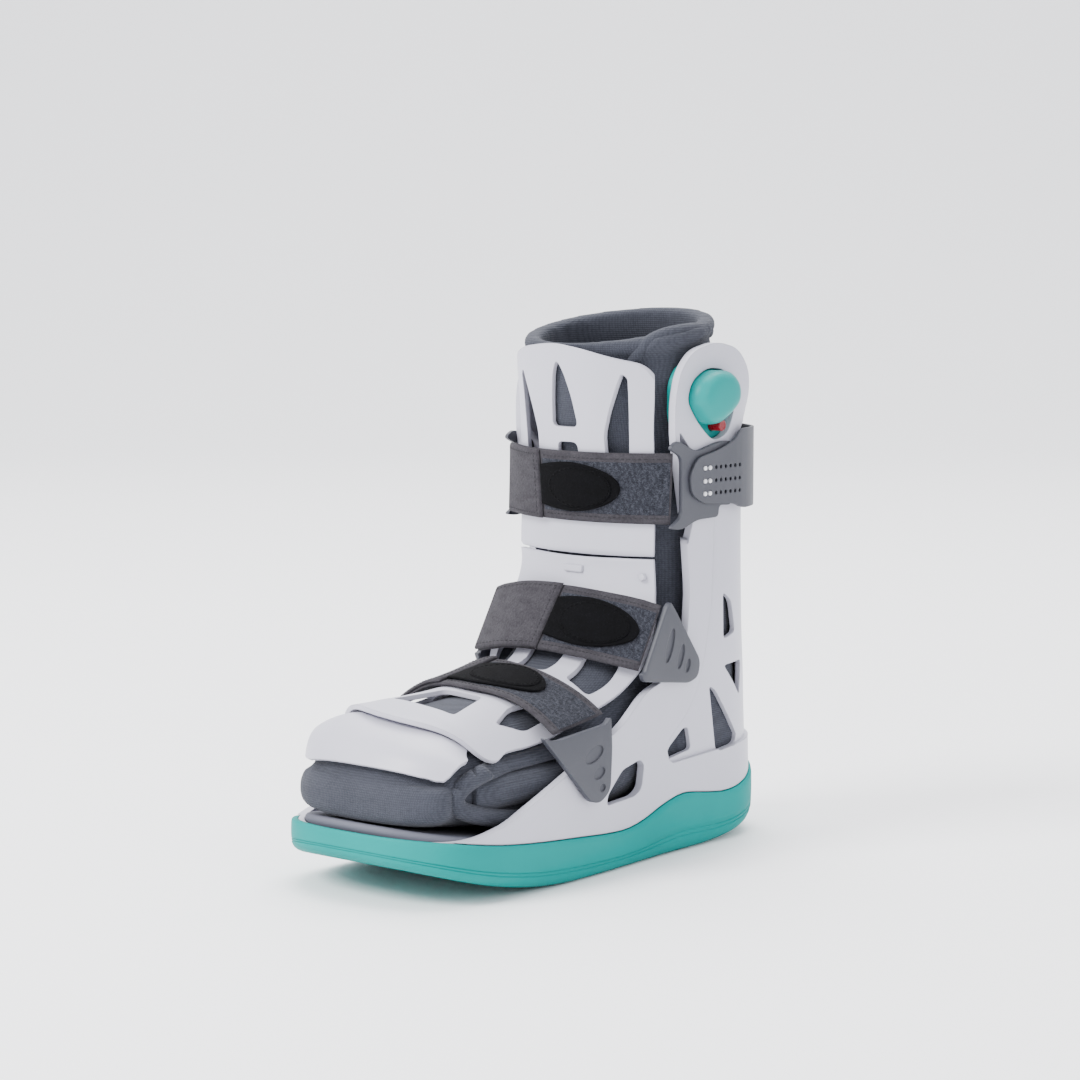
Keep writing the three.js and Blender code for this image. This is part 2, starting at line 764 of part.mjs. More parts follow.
function footSection(share, inset, toeShare) {
  const steps = 7;
  const y = alongY(share);
  const away = THREE.MathUtils.clamp((share - toeShare) / 0.11, 0, 1);
  const round = (1 - (1 - away) ** 2.6) ** (1 / 2.6);
  const low = linerLow(y) + inset;
  const high = upZ(footTop(share)) - inset;
  const middle = low + (high - low) * 0.42;
  const room = soleHalf(y) - coreInset - shell.wall - liner.slack - inset;
  const half = (room - liner.flapRoll * smooth(share, 0.1, 0.17) * (1 - smooth(share, 0.4, 0.5))) * (0.4 + 0.6 * round);
  const ring = [];
  for (let i = 0; i < steps * 2; i += 1) {
    const angle = (i / steps) * Math.PI;
    const c = Math.cos(angle);
    const s = Math.sin(angle);
    const power = c > 0 ? 1 : 0.72;
    const reach = c > 0 ? high - middle : middle - low;
    const tall = Math.sign(c) * Math.abs(c) ** power * reach * (0.45 + 0.55 * round);
    ring.push(new THREE.Vector3(half * Math.sign(s) * Math.abs(s) ** 0.85, y, middle + tall));
  }
  return ring;
}

function footLoft(inset) {
  const toeShare = 0.028 + inset / soleLength;
  const shares = [0, 0.01, 0.035, 0.08, 0.16, 0.28, 0.4, 0.47, 0.53, 0.66];
  return solidFromRings(shares.map((share) => footSection(toeShare + share, inset, toeShare)), ladderCap);
}

// The bound edge of the side flap turns back on itself beside the toes
const flapPath = [
  { along: 0.34, up: 0.245, out: 0.89 },
  { along: 0.26, up: 0.232, out: 0.9 },
  { along: 0.205, up: 0.21, out: 0.88 },
  { along: 0.18, up: 0.178, out: 0.86 },
  { along: 0.19, up: 0.14, out: 0.86 },
  { along: 0.23, up: 0.122, out: 0.86 },
  { along: 0.3, up: 0.115, out: 0.84 },
];

function flapRoll() {
  const points = flapPath.map((row) => new THREE.Vector3(row.out * ballHalf, alongY(row.along), upZ(row.up)));
  const section = new THREE.Shape();
  section.absarc(0, 0, liner.flapRoll, 0, Math.PI * 2);
  const route = new THREE.CatmullRomCurve3(points);
  const tube = new THREE.ExtrudeGeometry(section, { steps: 8, curveSegments: 2, extrudePath: route });
  return geometryToSolid(tube);
}

// What the hard front leaves no room for, down to a depth below it
function underFront(depth) {
  return sweptSlab(instepLine, panel.half, -panel.thickness - depth, 30, 6, 5)
    .add(sweptSlab(shinLine, panel.half, -panel.thickness - depth, 30, 6, 5))
    .add(sweptSlab(toeCapLine, toeCap.half, -toeCap.thickness - depth, 30, 4, 5));
}

function linerSolid() {
  const roll = flapRoll();
  const outer = legOuter().add(footLoft(0)).add(roll).add(mirrored(roll));
  const inner = legInner().add(footLoft(liner.footWall)).subtract(underFront(liner.footWall));
  return outer
    .subtract(inner)
    .intersect(shellCavity())
    .subtract(underFront(3 * gap))
    .subtract(pumpPlate(gap));
}

// Layers that lie on a surface: rows run across the boot, with two edges each

function layer(surface, rows, lift, thickness) {
  const across = 2;
  const rings = rows.map(({ x, low, high }) => {
    const top = [];
    const under = [];
    for (let i = 0; i <= across; i += 1) {
      const t = low + (high - low) * (i / across);
      const { point, normal } = surface(x, t);
      top.push(point.clone().addScaledVector(normal, lift + thickness));
      under.push(point.clone().addScaledVector(normal, lift));
    }
    return [...top, ...under.reverse()];
  });
  return solidFromRings(rings, (start, size) => {
    const faces = [];
    for (let i = 0; i + 1 < size / 2; i += 1) {
      const a = start + i;
      const b = start + size - 1 - i;
      faces.push(a, a + 1, b, a + 1, b - 1, b);
    }
    return faces;
  });
}

// Rows from one x to another with edges given by functions of x
function layerRows(from, to, steps, low, high) {
  const rows = [];
  for (let i = 0; i <= steps; i += 1) {
    const x = from + (to - from) * (i / steps);
    rows.push({ x, low: low(x), high: high(x) });
  }
  return rows;
}

// A tab: square where it leaves the fold, a pointed oval at its other end
function tabRows(from, to, steps, middle, reach) {
  const rows = [];
  for (let i = 0; i <= steps; i += 1) {
    const share = i / steps;
    const x = from + (to - from) * share;
    const swell = 0.8 + 0.2 * Math.sin(Math.min(share / 0.45, 1) * Math.PI / 2);
    const close = Math.sqrt(Math.max(0.05, 1 - Math.max(0, (share - 0.45) / 0.55) ** 2.4));
    rows.push({ x, low: middle - reach * swell * close, high: middle + reach * swell * close });
  }
  return rows;
}

const shinY = curve([...shinLine].reverse(), 'up', 'along');
const shinDrop = curve([...shinLine].reverse(), 'up', 'drop');
const shinPower = curve([...shinLine].reverse(), 'up', 'power');

// The calf strap lies on the shin; t is a share of the boot's height
function calfSurface(x, t) {
  const { fall, lean } = bowed({ drop: shinDrop(t), power: shinPower(t), tilt: 0 }, x);
  const point = new THREE.Vector3(x, alongY(shinY(t)) + fall, upZ(t));
  return { point, normal: new THREE.Vector3(lean, -1, 0).normalize() };
}

// The ankle strap bridges the bend; t runs from its lower to its upper edge
const ankleEdges = [
  { out: -1, lowAlong: 0.545, lowUp: 0.352, highAlong: 0.607, highUp: 0.465 },
  { out: -0.8, lowAlong: 0.527, lowUp: 0.36, highAlong: 0.594, highUp: 0.476 },
  { out: -0.45, lowAlong: 0.506, lowUp: 0.372, highAlong: 0.58, highUp: 0.487 },
  { out: 0, lowAlong: 0.5, lowUp: 0.377, highAlong: 0.576, highUp: 0.489 },
  { out: 0.45, lowAlong: 0.51, lowUp: 0.37, highAlong: 0.58, highUp: 0.484 },
  { out: 0.8, lowAlong: 0.528, lowUp: 0.36, highAlong: 0.595, highUp: 0.475 },
  { out: 1, lowAlong: 0.545, lowUp: 0.352, highAlong: 0.607, highUp: 0.465 },
];
const ankleCurves = Object.fromEntries(['lowAlong', 'lowUp', 'highAlong', 'highUp']
  .map((column) => [column, curve(ankleEdges, 'out', column)]));

function anklePoint(x, t) {
  const out = x / strap.end;
  const low = new THREE.Vector3(x, alongY(ankleCurves.lowAlong(out)), upZ(ankleCurves.lowUp(out)));
  const high = new THREE.Vector3(x, alongY(ankleCurves.highAlong(out)), upZ(ankleCurves.highUp(out)));
  return low.lerp(high, t);
}

function surfaceNormal(place, x, t) {
  const step = 0.5;
  const across = place(x + step, t).sub(place(x - step, t));
  const along = place(x, t + 0.02).sub(place(x, t - 0.02));
  return across.cross(along).normalize();
}

function ankleSurface(x, t) {
  return { point: anklePoint(x, t), normal: surfaceNormal(anklePoint, x, t) };
}

// The forefoot strap lies over the instep; t is a share of the sole's length
const instepUp = curve([...instepLine].reverse(), 'along', 'up');
const forefootBow = { drop: 0.25, power: 2.6, tilt: 0.03 };

function forefootPoint(x, t) {
  return new THREE.Vector3(x, alongY(t), upZ(instepUp(t)) - bowed(forefootBow, x).fall);
}

function forefootSurface(x, t) {
  return { point: forefootPoint(x, t), normal: surfaceNormal(forefootPoint, x, t) };
}

const forefootEdges = [
  { out: -1, low: 0.33, high: 0.463 },
  { out: -0.6, low: 0.325, high: 0.478 },
  { out: 0, low: 0.308, high: 0.455 },
  { out: 0.5, low: 0.316, high: 0.442 },
  { out: 1, low: 0.322, high: 0.452 },
];
const forefootLow = curve(forefootEdges, 'out', 'low');
const forefootHigh = curve(forefootEdges, 'out', 'high');

const straps = {
  calf: {
    surface: calfSurface,
    low: () => 0.612,
    high: () => 0.742,
    foldTo: -0.36,
    tabTo: 0.56,
    lift: 2 * gap,
    end: strap.calfEnd,
  },
  ankle: {
    surface: ankleSurface,
    low: () => 0,
    high: () => 1,
    foldTo: -0.06,
    tabTo: 0.82,
    lift: gap,
    end: strap.end,
  },
  forefoot: {
    surface: forefootSurface,
    low: (x) => forefootLow(x / strap.end),
    high: (x) => forefootHigh(x / strap.end),
    foldTo: -0.4,
    tabTo: 0.58,
    lift: 2 * gap,
    end: strap.forefootEnd,
  },
};

function strapSolid({ surface, low, high, foldTo, lift, end }) {
  const base = layer(surface, layerRows(-end, end, 12, low, high), lift, strap.thickness);
  const fold = layer(
    surface,
    layerRows(-end, end * foldTo, 5, low, high),
    lift + strap.thickness / 2,
    strap.fold + strap.thickness / 2,
  );
  return base.add(fold);
}

function tabSolid({ surface, low, high, foldTo, tabTo, lift, end }) {
  const from = end * foldTo + gap;
  const to = end * tabTo;
  const middle = (low((from + to) / 2) + high((from + to) / 2)) / 2;
  const reach = (high(from) - low(from)) * 0.44;
  const rows = tabRows(from, to, 8, middle, reach);
  return layer(surface, rows, lift + strap.thickness + gap, strap.tab);
}

// The anchors that hold the two lower straps, one on each side

const ankleAnchor = [
  { along: 0.6075, up: 0.467 },
  { along: 0.617, up: 0.474 },
  { along: 0.63, up: 0.458 },
  { along: 0.7, up: 0.358 },
  { along: 0.694, up: 0.328 },
  { along: 0.67, up: 0.319 },
  { along: 0.545, up: 0.335 },
  { along: 0.54, up: 0.35 },
  { along: 0.5475, up: 0.352 },
];

const forefootAnchor = [
  { along: 0.272, up: 0.272 },
  { along: 0.303, up: 0.259 },
  { along: 0.438, up: 0.273 },
  { along: 0.452, up: 0.286 },
  { along: 0.449, up: 0.23 },
  { along: 0.436, up: 0.155 },
  { along: 0.407, up: 0.137 },
  { along: 0.383, up: 0.142 },
  { along: 0.317, up: 0.221 },
];

const dimples = {
  ankle: [
    { along: 0.615, up: 0.394, long: 9, wide: 2.6, turn: 1.25 },
    { along: 0.645, up: 0.371, long: 6.5, wide: 2.2, turn: 1.25 },
    { along: 0.664, up: 0.352, long: 3.6, wide: 1.8, turn: 1.25 },
  ],
  forefoot: [
    { along: 0.4, up: 0.224, long: 7.5, wide: 3.4, turn: 0.35 },
    { along: 0.41, up: 0.19, long: 4.6, wide: 2.6, turn: 0.35 },
    { along: 0.415, up: 0.163, long: 2.4, wide: 1.8, turn: 0.35 },
  ],
};

function dimpleCorners({ along, up, long, wide, turn }) {
  const corners = [];
  for (let i = 0; i < 8; i += 1) {
    const angle = (i / 8) * Math.PI * 2;
    const a = long * Math.cos(angle);
    const b = wide * Math.sin(angle);
    corners.push([
      alongY(along) + a * Math.cos(turn) - b * Math.sin(turn),
      upZ(up) + a * Math.sin(turn) + b * Math.cos(turn),
    ]);
  }
  return corners;
}

function anchorPlate(rows, dents, base, thickness) {
  let plate = prismX(sideCorners(rows), base, base + thickness, 4);
  dents.forEach((dent) => {
    plate = plate.subtract(prismX(dimpleCorners(dent), base + thickness - 0.6, base + thickness + 2, 0));
  });
  return plate;
}

function ankleAnchorPlate() {
  return anchorPlate(ankleAnchor, dimples.ankle, shell.half + gap, anchor.thickness);
}

function forefootAnchorPlate() {
  const base = ballHalf * 0.963;
  const foot = upZ(0.137);
  const plate = anchorPlate(forefootAnchor, dimples.forefoot, base, anchor.thickness);
  const lean = new THREE.Matrix4().set(1, 0, -anchor.lean, anchor.lean * foot, 0, 1, 0, 0, 0, 0, 1, 0, 0, 0, 0, 1);
  return geometryToSolid(solidToGeometry(plate).applyMatrix4(lean));
}

// The calf fittings and the perforated band round the back

const wrapLevel = 0.68;

// A wall that follows the shell's outside at the band's level
function wrapSlab(lift, thickness, low, high) {
  const level = () => upZ(wrapLevel);
  const flat = (grow, z) => shellRing(coreInset - shell.cladding - grow, level)
    .map((p) => new THREE.Vector3(p.x, p.y, z));
  const outer = solidFromRings([flat(lift + thickness, low), flat(lift + thickness, high)], ladderCap);
  const inner = solidFromRings([flat(lift, low - 1), flat(lift, high + 1)], ladderCap);
  return outer.subtract(inner);
}

const fittingOutline = [
  { along: 0.615, up: 0.752 },
  { along: 0.637, up: 0.766 },
  { along: 0.69, up: 0.742 },
  { along: 0.75, up: 0.756 },
  { along: 0.79, up: 0.757 },
  { along: 0.79, up: 0.637 },
  { along: 0.754, up: 0.64 },
  { along: 0.752, up: 0.618 },
  { along: 0.692, up: 0.617 },
  { along: 0.65, up: 0.602 },
  { along: 0.615, up: 0.606 },
  { along: 0.65, up: 0.625 },
  { along: 0.65, up: 0.735 },
];

const bandOutline = [
  { along: 0.743, up: 0.742 },
  { along: 0.687, up: 0.731 },
  { along: 0.666, up: 0.701 },
  { along: 0.671, up: 0.665 },
  { along: 0.705, up: 0.646 },
  { along: 0.79, up: 0.64 },
  { along: 0.815, up: 0.63 },
  { along: 1.1, up: 0.63 },
  { along: 1.1, up: 0.77 },
  { along: 0.81, up: 0.778 },
  { along: 0.79, up: 0.757 },
];

const bandHoles = { rows: [0.711, 0.687, 0.664], from: 0.738, pitch: 0.0135, count: 6, pins: 2, radius: 1.05 };

function rowCentres(from, count) {
  const centres = [];
  bandHoles.rows.forEach((up) => {
    for (let i = 0; i < count; i += 1) centres.push([alongY(from + i * bandHoles.pitch), upZ(up)]);
  });
  return centres;
}

function square([y, z], radius) {
  return [[y - radius, z - radius], [y + radius, z - radius], [y + radius, z + radius], [y - radius, z + radius]];
}

function fittingPlate() {
  const low = upZ(0.58);
  const high = upZ(0.79);
  const base = gap;
  return wrapSlab(base, fitting.thickness, low, high).intersect(prismX(sideCorners(fittingOutline), 5, ballHalf * 2, 3));
}

const bandLift = gap + fitting.thickness + gap;
const pinFrom = bandHoles.from - bandHoles.pins * bandHoles.pitch - 0.004;

function calfBand() {
  const low = upZ(0.6);
  const high = upZ(0.8);
  let band = wrapSlab(bandLift, fitting.band, low, high).intersect(prismX(sideCorners(bandOutline), -ballHalf * 2, ballHalf * 2, 3));
  const holes = rowCentres(bandHoles.from, bandHoles.count).map((centre) => square(centre, bandHoles.radius));
  const sockets = rowCentres(pinFrom, bandHoles.pins).map((centre) => square(centre, fitting.pin + gap));
  [...holes, ...sockets].forEach((corners) => {
    band = band.subtract(prismX(corners, 0, ballHalf * 2, 0));
  });
  return band;
}

function pinSolid(centre) {
  const reach = wrapSlab(bandLift, fitting.band + fitting.pinProud, upZ(0.6), upZ(0.8));
  return reach.intersect(prismX(square(centre, fitting.pin), 5, ballHalf * 2, 0));
}

// The hand pump in the near upright

const plateOutline = [
  { along: 0.65, up: 0.806 },
  { along: 0.65, up: 0.866 },
  { along: 0.672, up: 0.9 },
  { along: 0.776, up: 0.9 },
  { along: 0.822, up: 0.875 },
  { along: 0.822, up: 0.8 },
  { along: 0.772, up: 0.76 },
  { along: 0.707, up: 0.76 },
  { along: 0.66, up: 0.775 },
];

const bulbOutline = [
  { along: 0.678, up: 0.835 },
  { along: 0.691, up: 0.868 },
  { along: 0.729, up: 0.888 },
  { along: 0.77, up: 0.883 },
  { along: 0.796, up: 0.857 },
  { along: 0.795, up: 0.824 },
  { along: 0.768, up: 0.804 },
  { along: 0.71, up: 0.8 },
];

const buttonPlace = { along: 0.762, up: 0.786 };
const wallInside = shell.half - shell.cladding - shell.wall;

function pumpPlate(grow) {
  return prismX(
    sideCorners(plateOutline),
    wallInside - gap - pump.plate - grow,
    wallInside - gap + grow,
    3,
  );
}

function pumpBacking() {
  return pumpPlate(0).intersect(shellCavity());
}

function pumpBulb() {
  const corners = sideCorners(bulbOutline);
  const middleY = corners.reduce((sum, [y]) => sum + y, 0) / corners.length;
  const middleZ = corners.reduce((sum, [, z]) => sum + z, 0) / corners.length;
  const rounded = roundedShape(corners, 4).getPoints(2);
  const ringAt = (x, scale) => rounded.slice(0, -1).map((p) => new THREE.Vector3(
    x,
    middleY + (p.x - middleY) * scale,
    middleZ + (p.y - middleZ) * scale,
  ));
  const low = wallInside - gap - 0.5;
  const high = shell.half + pump.bulge;
  const rise = high - shell.half;
  const bulb = solidFromRings([
    ringAt(low, 1),
    ringAt(shell.half, 1),
    ringAt(shell.half + rise * 0.5, 0.97),
    ringAt(shell.half + rise * 0.8, 0.84),
    ringAt(shell.half + rise * 0.95, 0.6),
    ringAt(high, 0.25),
  ], fanCap);
  const socket = buttonCylinder(button.radius + button.running, buttonInner() - button.travel - gap, high);
  return pumpBacking().add(bulb).subtract(socket);
}

function buttonInner() {
  return wallInside - gap - pump.plate * 0.25;
}

function buttonCylinder(radius, low, high) {
  const geometry = new THREE.CylinderGeometry(radius, radius, high - low, 14);
  geometry.rotateZ(Math.PI / 2);
  geometry.translate((low + high) / 2, alongY(buttonPlace.along), upZ(buttonPlace.up));
  return geometryToSolid(geometry);
}

function releaseButton() {
  return buttonCylinder(button.radius, buttonInner(), shell.half + button.proud);
}

// The blank label inside the back of the collar
function labelSolid() {
  const y = alongY(rim.back) - liner.wall + label.setBack;
  const z = upZ(rim.up) - label.height * 0.8;
  const x = label.width / 2;
  return prismY(
    [[-x, z - label.height], [x, z - label.height], [x, z], [-x, z]],
    y - label.thickness,
    y,
    1,
  );
}

// Assembly

const colours = {
  teal: 0x14c8c4,
  shell: 0xd4d4de,
  footbed: 0x6a6c80,
  knit: 0x4d525f,
  strap: 0x5c5a60,
  tab: 0x17171b,
  fitting: 0x5a5c66,
  red: 0xb4142c,
  white: 0xf0f0f0,
};

const boot = new THREE.Group();
boot.add(mesh('outsole', outsole(), colours.teal, 0.55));
boot.add(mesh('shell', shellSolid(), colours.shell, 0.45));
boot.add(mesh('insole', insoleSolid(), colours.footbed, 0.8));
boot.add(mesh('liner', linerSolid(), colours.knit, 0.95));
boot.add(mesh('shin_panel', shinPanel(), colours.shell, 0.45));
boot.add(mesh('instep_panel', instepPanel(), colours.shell, 0.45));
boot.add(mesh('toe_cap', toeCapSolid(), colours.shell, 0.45));
Object.entries(straps).forEach(([name, size]) => {
  boot.add(mesh(`${name}_strap`, strapSolid(size), colours.strap, 0.95));
  boot.add(mesh(`${name}_tab`, tabSolid(size), colours.tab, 0.9));
});
const sides = { near: (solid) => solid, far: mirrored };
Object.entries(sides).forEach(([side, place]) => {
  boot.add(mesh(`ankle_anchor_${side}`, place(ankleAnchorPlate()), colours.fitting, 0.6));
  boot.add(mesh(`forefoot_anchor_${side}`, place(forefootAnchorPlate()), colours.fitting, 0.6));
  boot.add(mesh(`calf_fitting_${side}`, place(fittingPlate()), colours.fitting, 0.6));
});
boot.add(mesh('calf_band', calfBand(), colours.fitting, 0.6));
rowCentres(pinFrom, bandHoles.pins).forEach((centre, index) => {
  boot.add(mesh(`band_pin_${index + 1}`, pinSolid(centre), colours.white, 0.4));
});
boot.add(mesh('pump_bulb', pumpBulb(), colours.teal, 0.4));
boot.add(mesh('release_button', releaseButton(), colours.red, 0.4));
boot.add(mesh('inner_label', labelSolid(), colours.white, 0.8));

export default boot;
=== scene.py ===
"""A short pneumatic walking boot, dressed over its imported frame.

Lengths are in millimetres until a point goes into a mesh. Tables hold shares: along the sole
from the toe, up the boot's height, and out of the half width that the table names.
"""
import math

import bmesh
import bpy
from mathutils import Matrix, Vector


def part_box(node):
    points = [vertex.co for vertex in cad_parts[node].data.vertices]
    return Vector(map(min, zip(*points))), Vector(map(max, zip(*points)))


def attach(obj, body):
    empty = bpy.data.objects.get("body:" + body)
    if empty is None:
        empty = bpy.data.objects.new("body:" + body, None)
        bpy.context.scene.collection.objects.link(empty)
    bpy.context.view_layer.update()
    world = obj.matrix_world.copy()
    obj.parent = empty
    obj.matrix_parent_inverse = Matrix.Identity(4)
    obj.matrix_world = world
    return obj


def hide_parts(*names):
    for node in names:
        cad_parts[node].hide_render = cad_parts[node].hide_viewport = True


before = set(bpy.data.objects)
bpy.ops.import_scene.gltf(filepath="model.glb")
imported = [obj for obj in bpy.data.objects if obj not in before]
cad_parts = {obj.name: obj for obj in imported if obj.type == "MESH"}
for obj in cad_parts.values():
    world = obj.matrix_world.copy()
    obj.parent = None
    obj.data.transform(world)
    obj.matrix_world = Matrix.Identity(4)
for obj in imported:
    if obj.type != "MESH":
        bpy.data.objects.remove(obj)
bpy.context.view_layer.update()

MM = 0.001
GAP = 0.3
SOLE_LENGTH = 290.0
BALL_HALF = 62.0
BOOT_HEIGHT = 278.0
SOLE = {"lip": 33.5, "toe_rise": 21, "heel_rise": 13, "flat_from": 0.38, "flat_to": 0.72,
        "rim": 3, "toe_round": 46, "heel_round": 47}
BED = {"height": 15, "toe_lift": 14, "lift_from": 0.43}
SHELL = {"wall": 2.6, "floor": 3, "half": 54, "cladding": 1.8, "crown": 261}
LINER = {"wall": 7, "roll": 2.6, "foot_wall": 6, "slack": 1.1, "flap_roll": 4.6}
PANEL = {"thickness": 2.5, "half": 45, "seam": 152, "seam_gap": 0.8}
TOE_CAP = {"thickness": 2.4, "half": 47.5}
STRAP = {"thickness": 2.3, "fold": 2, "tab": 1.6, "end": 54}
CORE = SOLE["rim"] + GAP
WALL_INSIDE = SHELL["half"] - SHELL["cladding"] - SHELL["wall"]


# Curves through tables

def along(share):
    return (share - 0.5) * SOLE_LENGTH


def up(share):
    return share * BOOT_HEIGHT


def curve(rows, source, target):
    x = [row[source] for row in rows]
    y = [row[target] for row in rows]
    last = len(x) - 1
    slope = []
    for i in range(len(x)):
        before, after = max(i - 1, 0), min(i + 1, last)
        slope.append((y[after] - y[before]) / (x[after] - x[before]))

    def value(at):
        if at <= x[0]:
            return y[0]
        if at >= x[last]:
            return y[last]
        i = next(k for k in range(last + 1) if x[k] > at) - 1
        span = x[i + 1] - x[i]
        t = (at - x[i]) / span
        rise = t * t * (3 - 2 * t)
        leave = t * (1 - t) * (1 - t) * span * slope[i]
        arrive = t * t * (t - 1) * span * slope[i + 1]
        return y[i] + (y[i + 1] - y[i]) * rise + leave + arrive

    return value


def smooth_step(value, low, high):
    t = min(max((value - low) / (high - low), 0), 1)
    return t * t * (3 - 2 * t)


def shares(count):
    return [i / count for i in range(count + 1)]


# Meshes from rings, outlines and cuts

def loft(rings):
    """A grid bent to the rings, one row for each, joined up where points meet."""
    count = columns = len(rings[0])
    levels = len(rings) - 1
    mesh = bmesh.new()
    mesh.loops.layers.uv.new("cloth")
    bmesh.ops.create_grid(mesh, x_segments=columns, y_segments=levels, size=0.5, calc_uvs=True)
    for vert in mesh.verts:
        column = round((vert.co.x + 0.5) * columns) % count
        level = round((vert.co.y + 0.5) * levels)
        vert.co = rings[level][column] * MM
    bmesh.ops.remove_doubles(mesh, verts=mesh.verts, dist=2e-6)
    bmesh.ops.recalc_face_normals(mesh, faces=mesh.faces)
    return mesh


def ridge(ring):
    """The ring drawn in to the middle plane, which closes a loft that is the same on both sides."""
    return [Vector((0, p.y, p.z)) for p in ring]


def hub(ring):
    middle = sum(ring, Vector()) / len(ring)
    return [middle.copy() for _ in ring]


def closed_loft(rings, close=ridge):
    return loft([close(rings[0]), *rings, close(rings[-1])])


def rounded(corners, radius, steps=6):
    points = []
    for i, corner in enumerate(corners):
        here = Vector(corner)
        back = Vector(corners[i - 1]) - here
        ahead = Vector(corners[(i + 1) % len(corners)]) - here
        reach = min(radius, back.length * 0.45, ahead.length * 0.45)
        entry = here + back.normalized() * reach
        leave = here + ahead.normalized() * reach
        for t in shares(steps):
            points.append(entry * (1 - t) ** 2 + here * 2 * t * (1 - t) + leave * t * t)
    return points


def side(rows):
    return [(along(row[0]), up(row[1])) for row in rows]


PLANES = {
    "x": lambda a, b, depth: Vector((depth, a, b)),
    "y": lambda a, b, depth: Vector((a, depth, b)),
    "z": lambda a, b, depth: Vector((a, b, depth)),
}


def prism(outline, low, high, axis, mesh=None):
    """An outline in the plane across the axis, extruded between two depths."""
    mesh = mesh or bmesh.new()
    place = PLANES[axis]
    verts = [mesh.verts.new(place(p[0], p[1], low) * MM) for p in outline]
    face = mesh.faces.new(verts)
    raised = bmesh.ops.extrude_face_region(mesh, geom=[face])["geom"]
    moved = [g for g in raised if isinstance(g, bmesh.types.BMVert)]
    bmesh.ops.translate(mesh, verts=moved, vec=place(0, 0, high - low) * MM)
    bmesh.ops.recalc_face_normals(mesh, faces=mesh.faces)
    return mesh


def soften(mesh, width, segments=3, angle=50):
    edges = [e for e in mesh.edges if e.is_manifold and e.calc_face_angle(0) > math.radians(angle)]
    bmesh.ops.bevel(mesh, geom=edges, offset=width * MM, offset_type="OFFSET", segments=segments,
                    profile=0.5, affect="EDGES", clamp_overlap=True, material=-1)
    return mesh


def mirror_across(mesh):
    bmesh.ops.scale(mesh, vec=(-1, 1, 1), verts=mesh.verts)
    bmesh.ops.reverse_faces(mesh, faces=mesh.faces)
    return mesh


def piece(name, mesh):
    data = bpy.data.meshes.new(name)
    mesh.to_mesh(data)
    mesh.free()
    thing = bpy.data.objects.new(name, data)
    bpy.context.collection.objects.link(thing)
    return thing


def settle(thing):
    graph = bpy.context.evaluated_depsgraph_get()
    fresh = bpy.data.meshes.new_from_object(thing.evaluated_get(graph))
    thing.modifiers.clear()
    old = thing.data
    thing.data = fresh
    bpy.data.meshes.remove(old)


def cut(thing, cutter, operation="DIFFERENCE", folded=False):
    tool = piece("tool", cutter)
    modifier = thing.modifiers.new("cut", "BOOLEAN")
    modifier.operation = operation
    modifier.solver = "EXACT"
    modifier.use_self = folded
    modifier.object = tool
    settle(thing)
    bpy.data.objects.remove(tool)


def join(thing, *others):
    mesh = bmesh.new()
    mesh.from_mesh(thing.data)
    for other in others:
        mesh.from_mesh(other.data)
        bpy.data.objects.remove(other)
    mesh.to_mesh(thing.data)
    mesh.free()
    return thing


def remesh(thing, size, relax):
    modifier = thing.modifiers.new("remesh", "REMESH")
    modifier.mode = "VOXEL"
    modifier.voxel_size = size * MM
    if relax:
        easing = thing.modifiers.new("relax", "SMOOTH")
        easing.factor = 0.5
        easing.iterations = relax
    settle(thing)


def finish_piece(thing, node, material, body="boot", angle=38):
    """Shades a piece, puts it on its body and lets it stand for its CAD node."""
    thing.data.materials.clear()
    thing.data.materials.append(material)
    thing.data.shade_smooth()
    thing.data.set_sharp_from_angle(angle=math.radians(angle))
    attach(thing, body)
    if node:
        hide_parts(node)
    return thing


# Materials

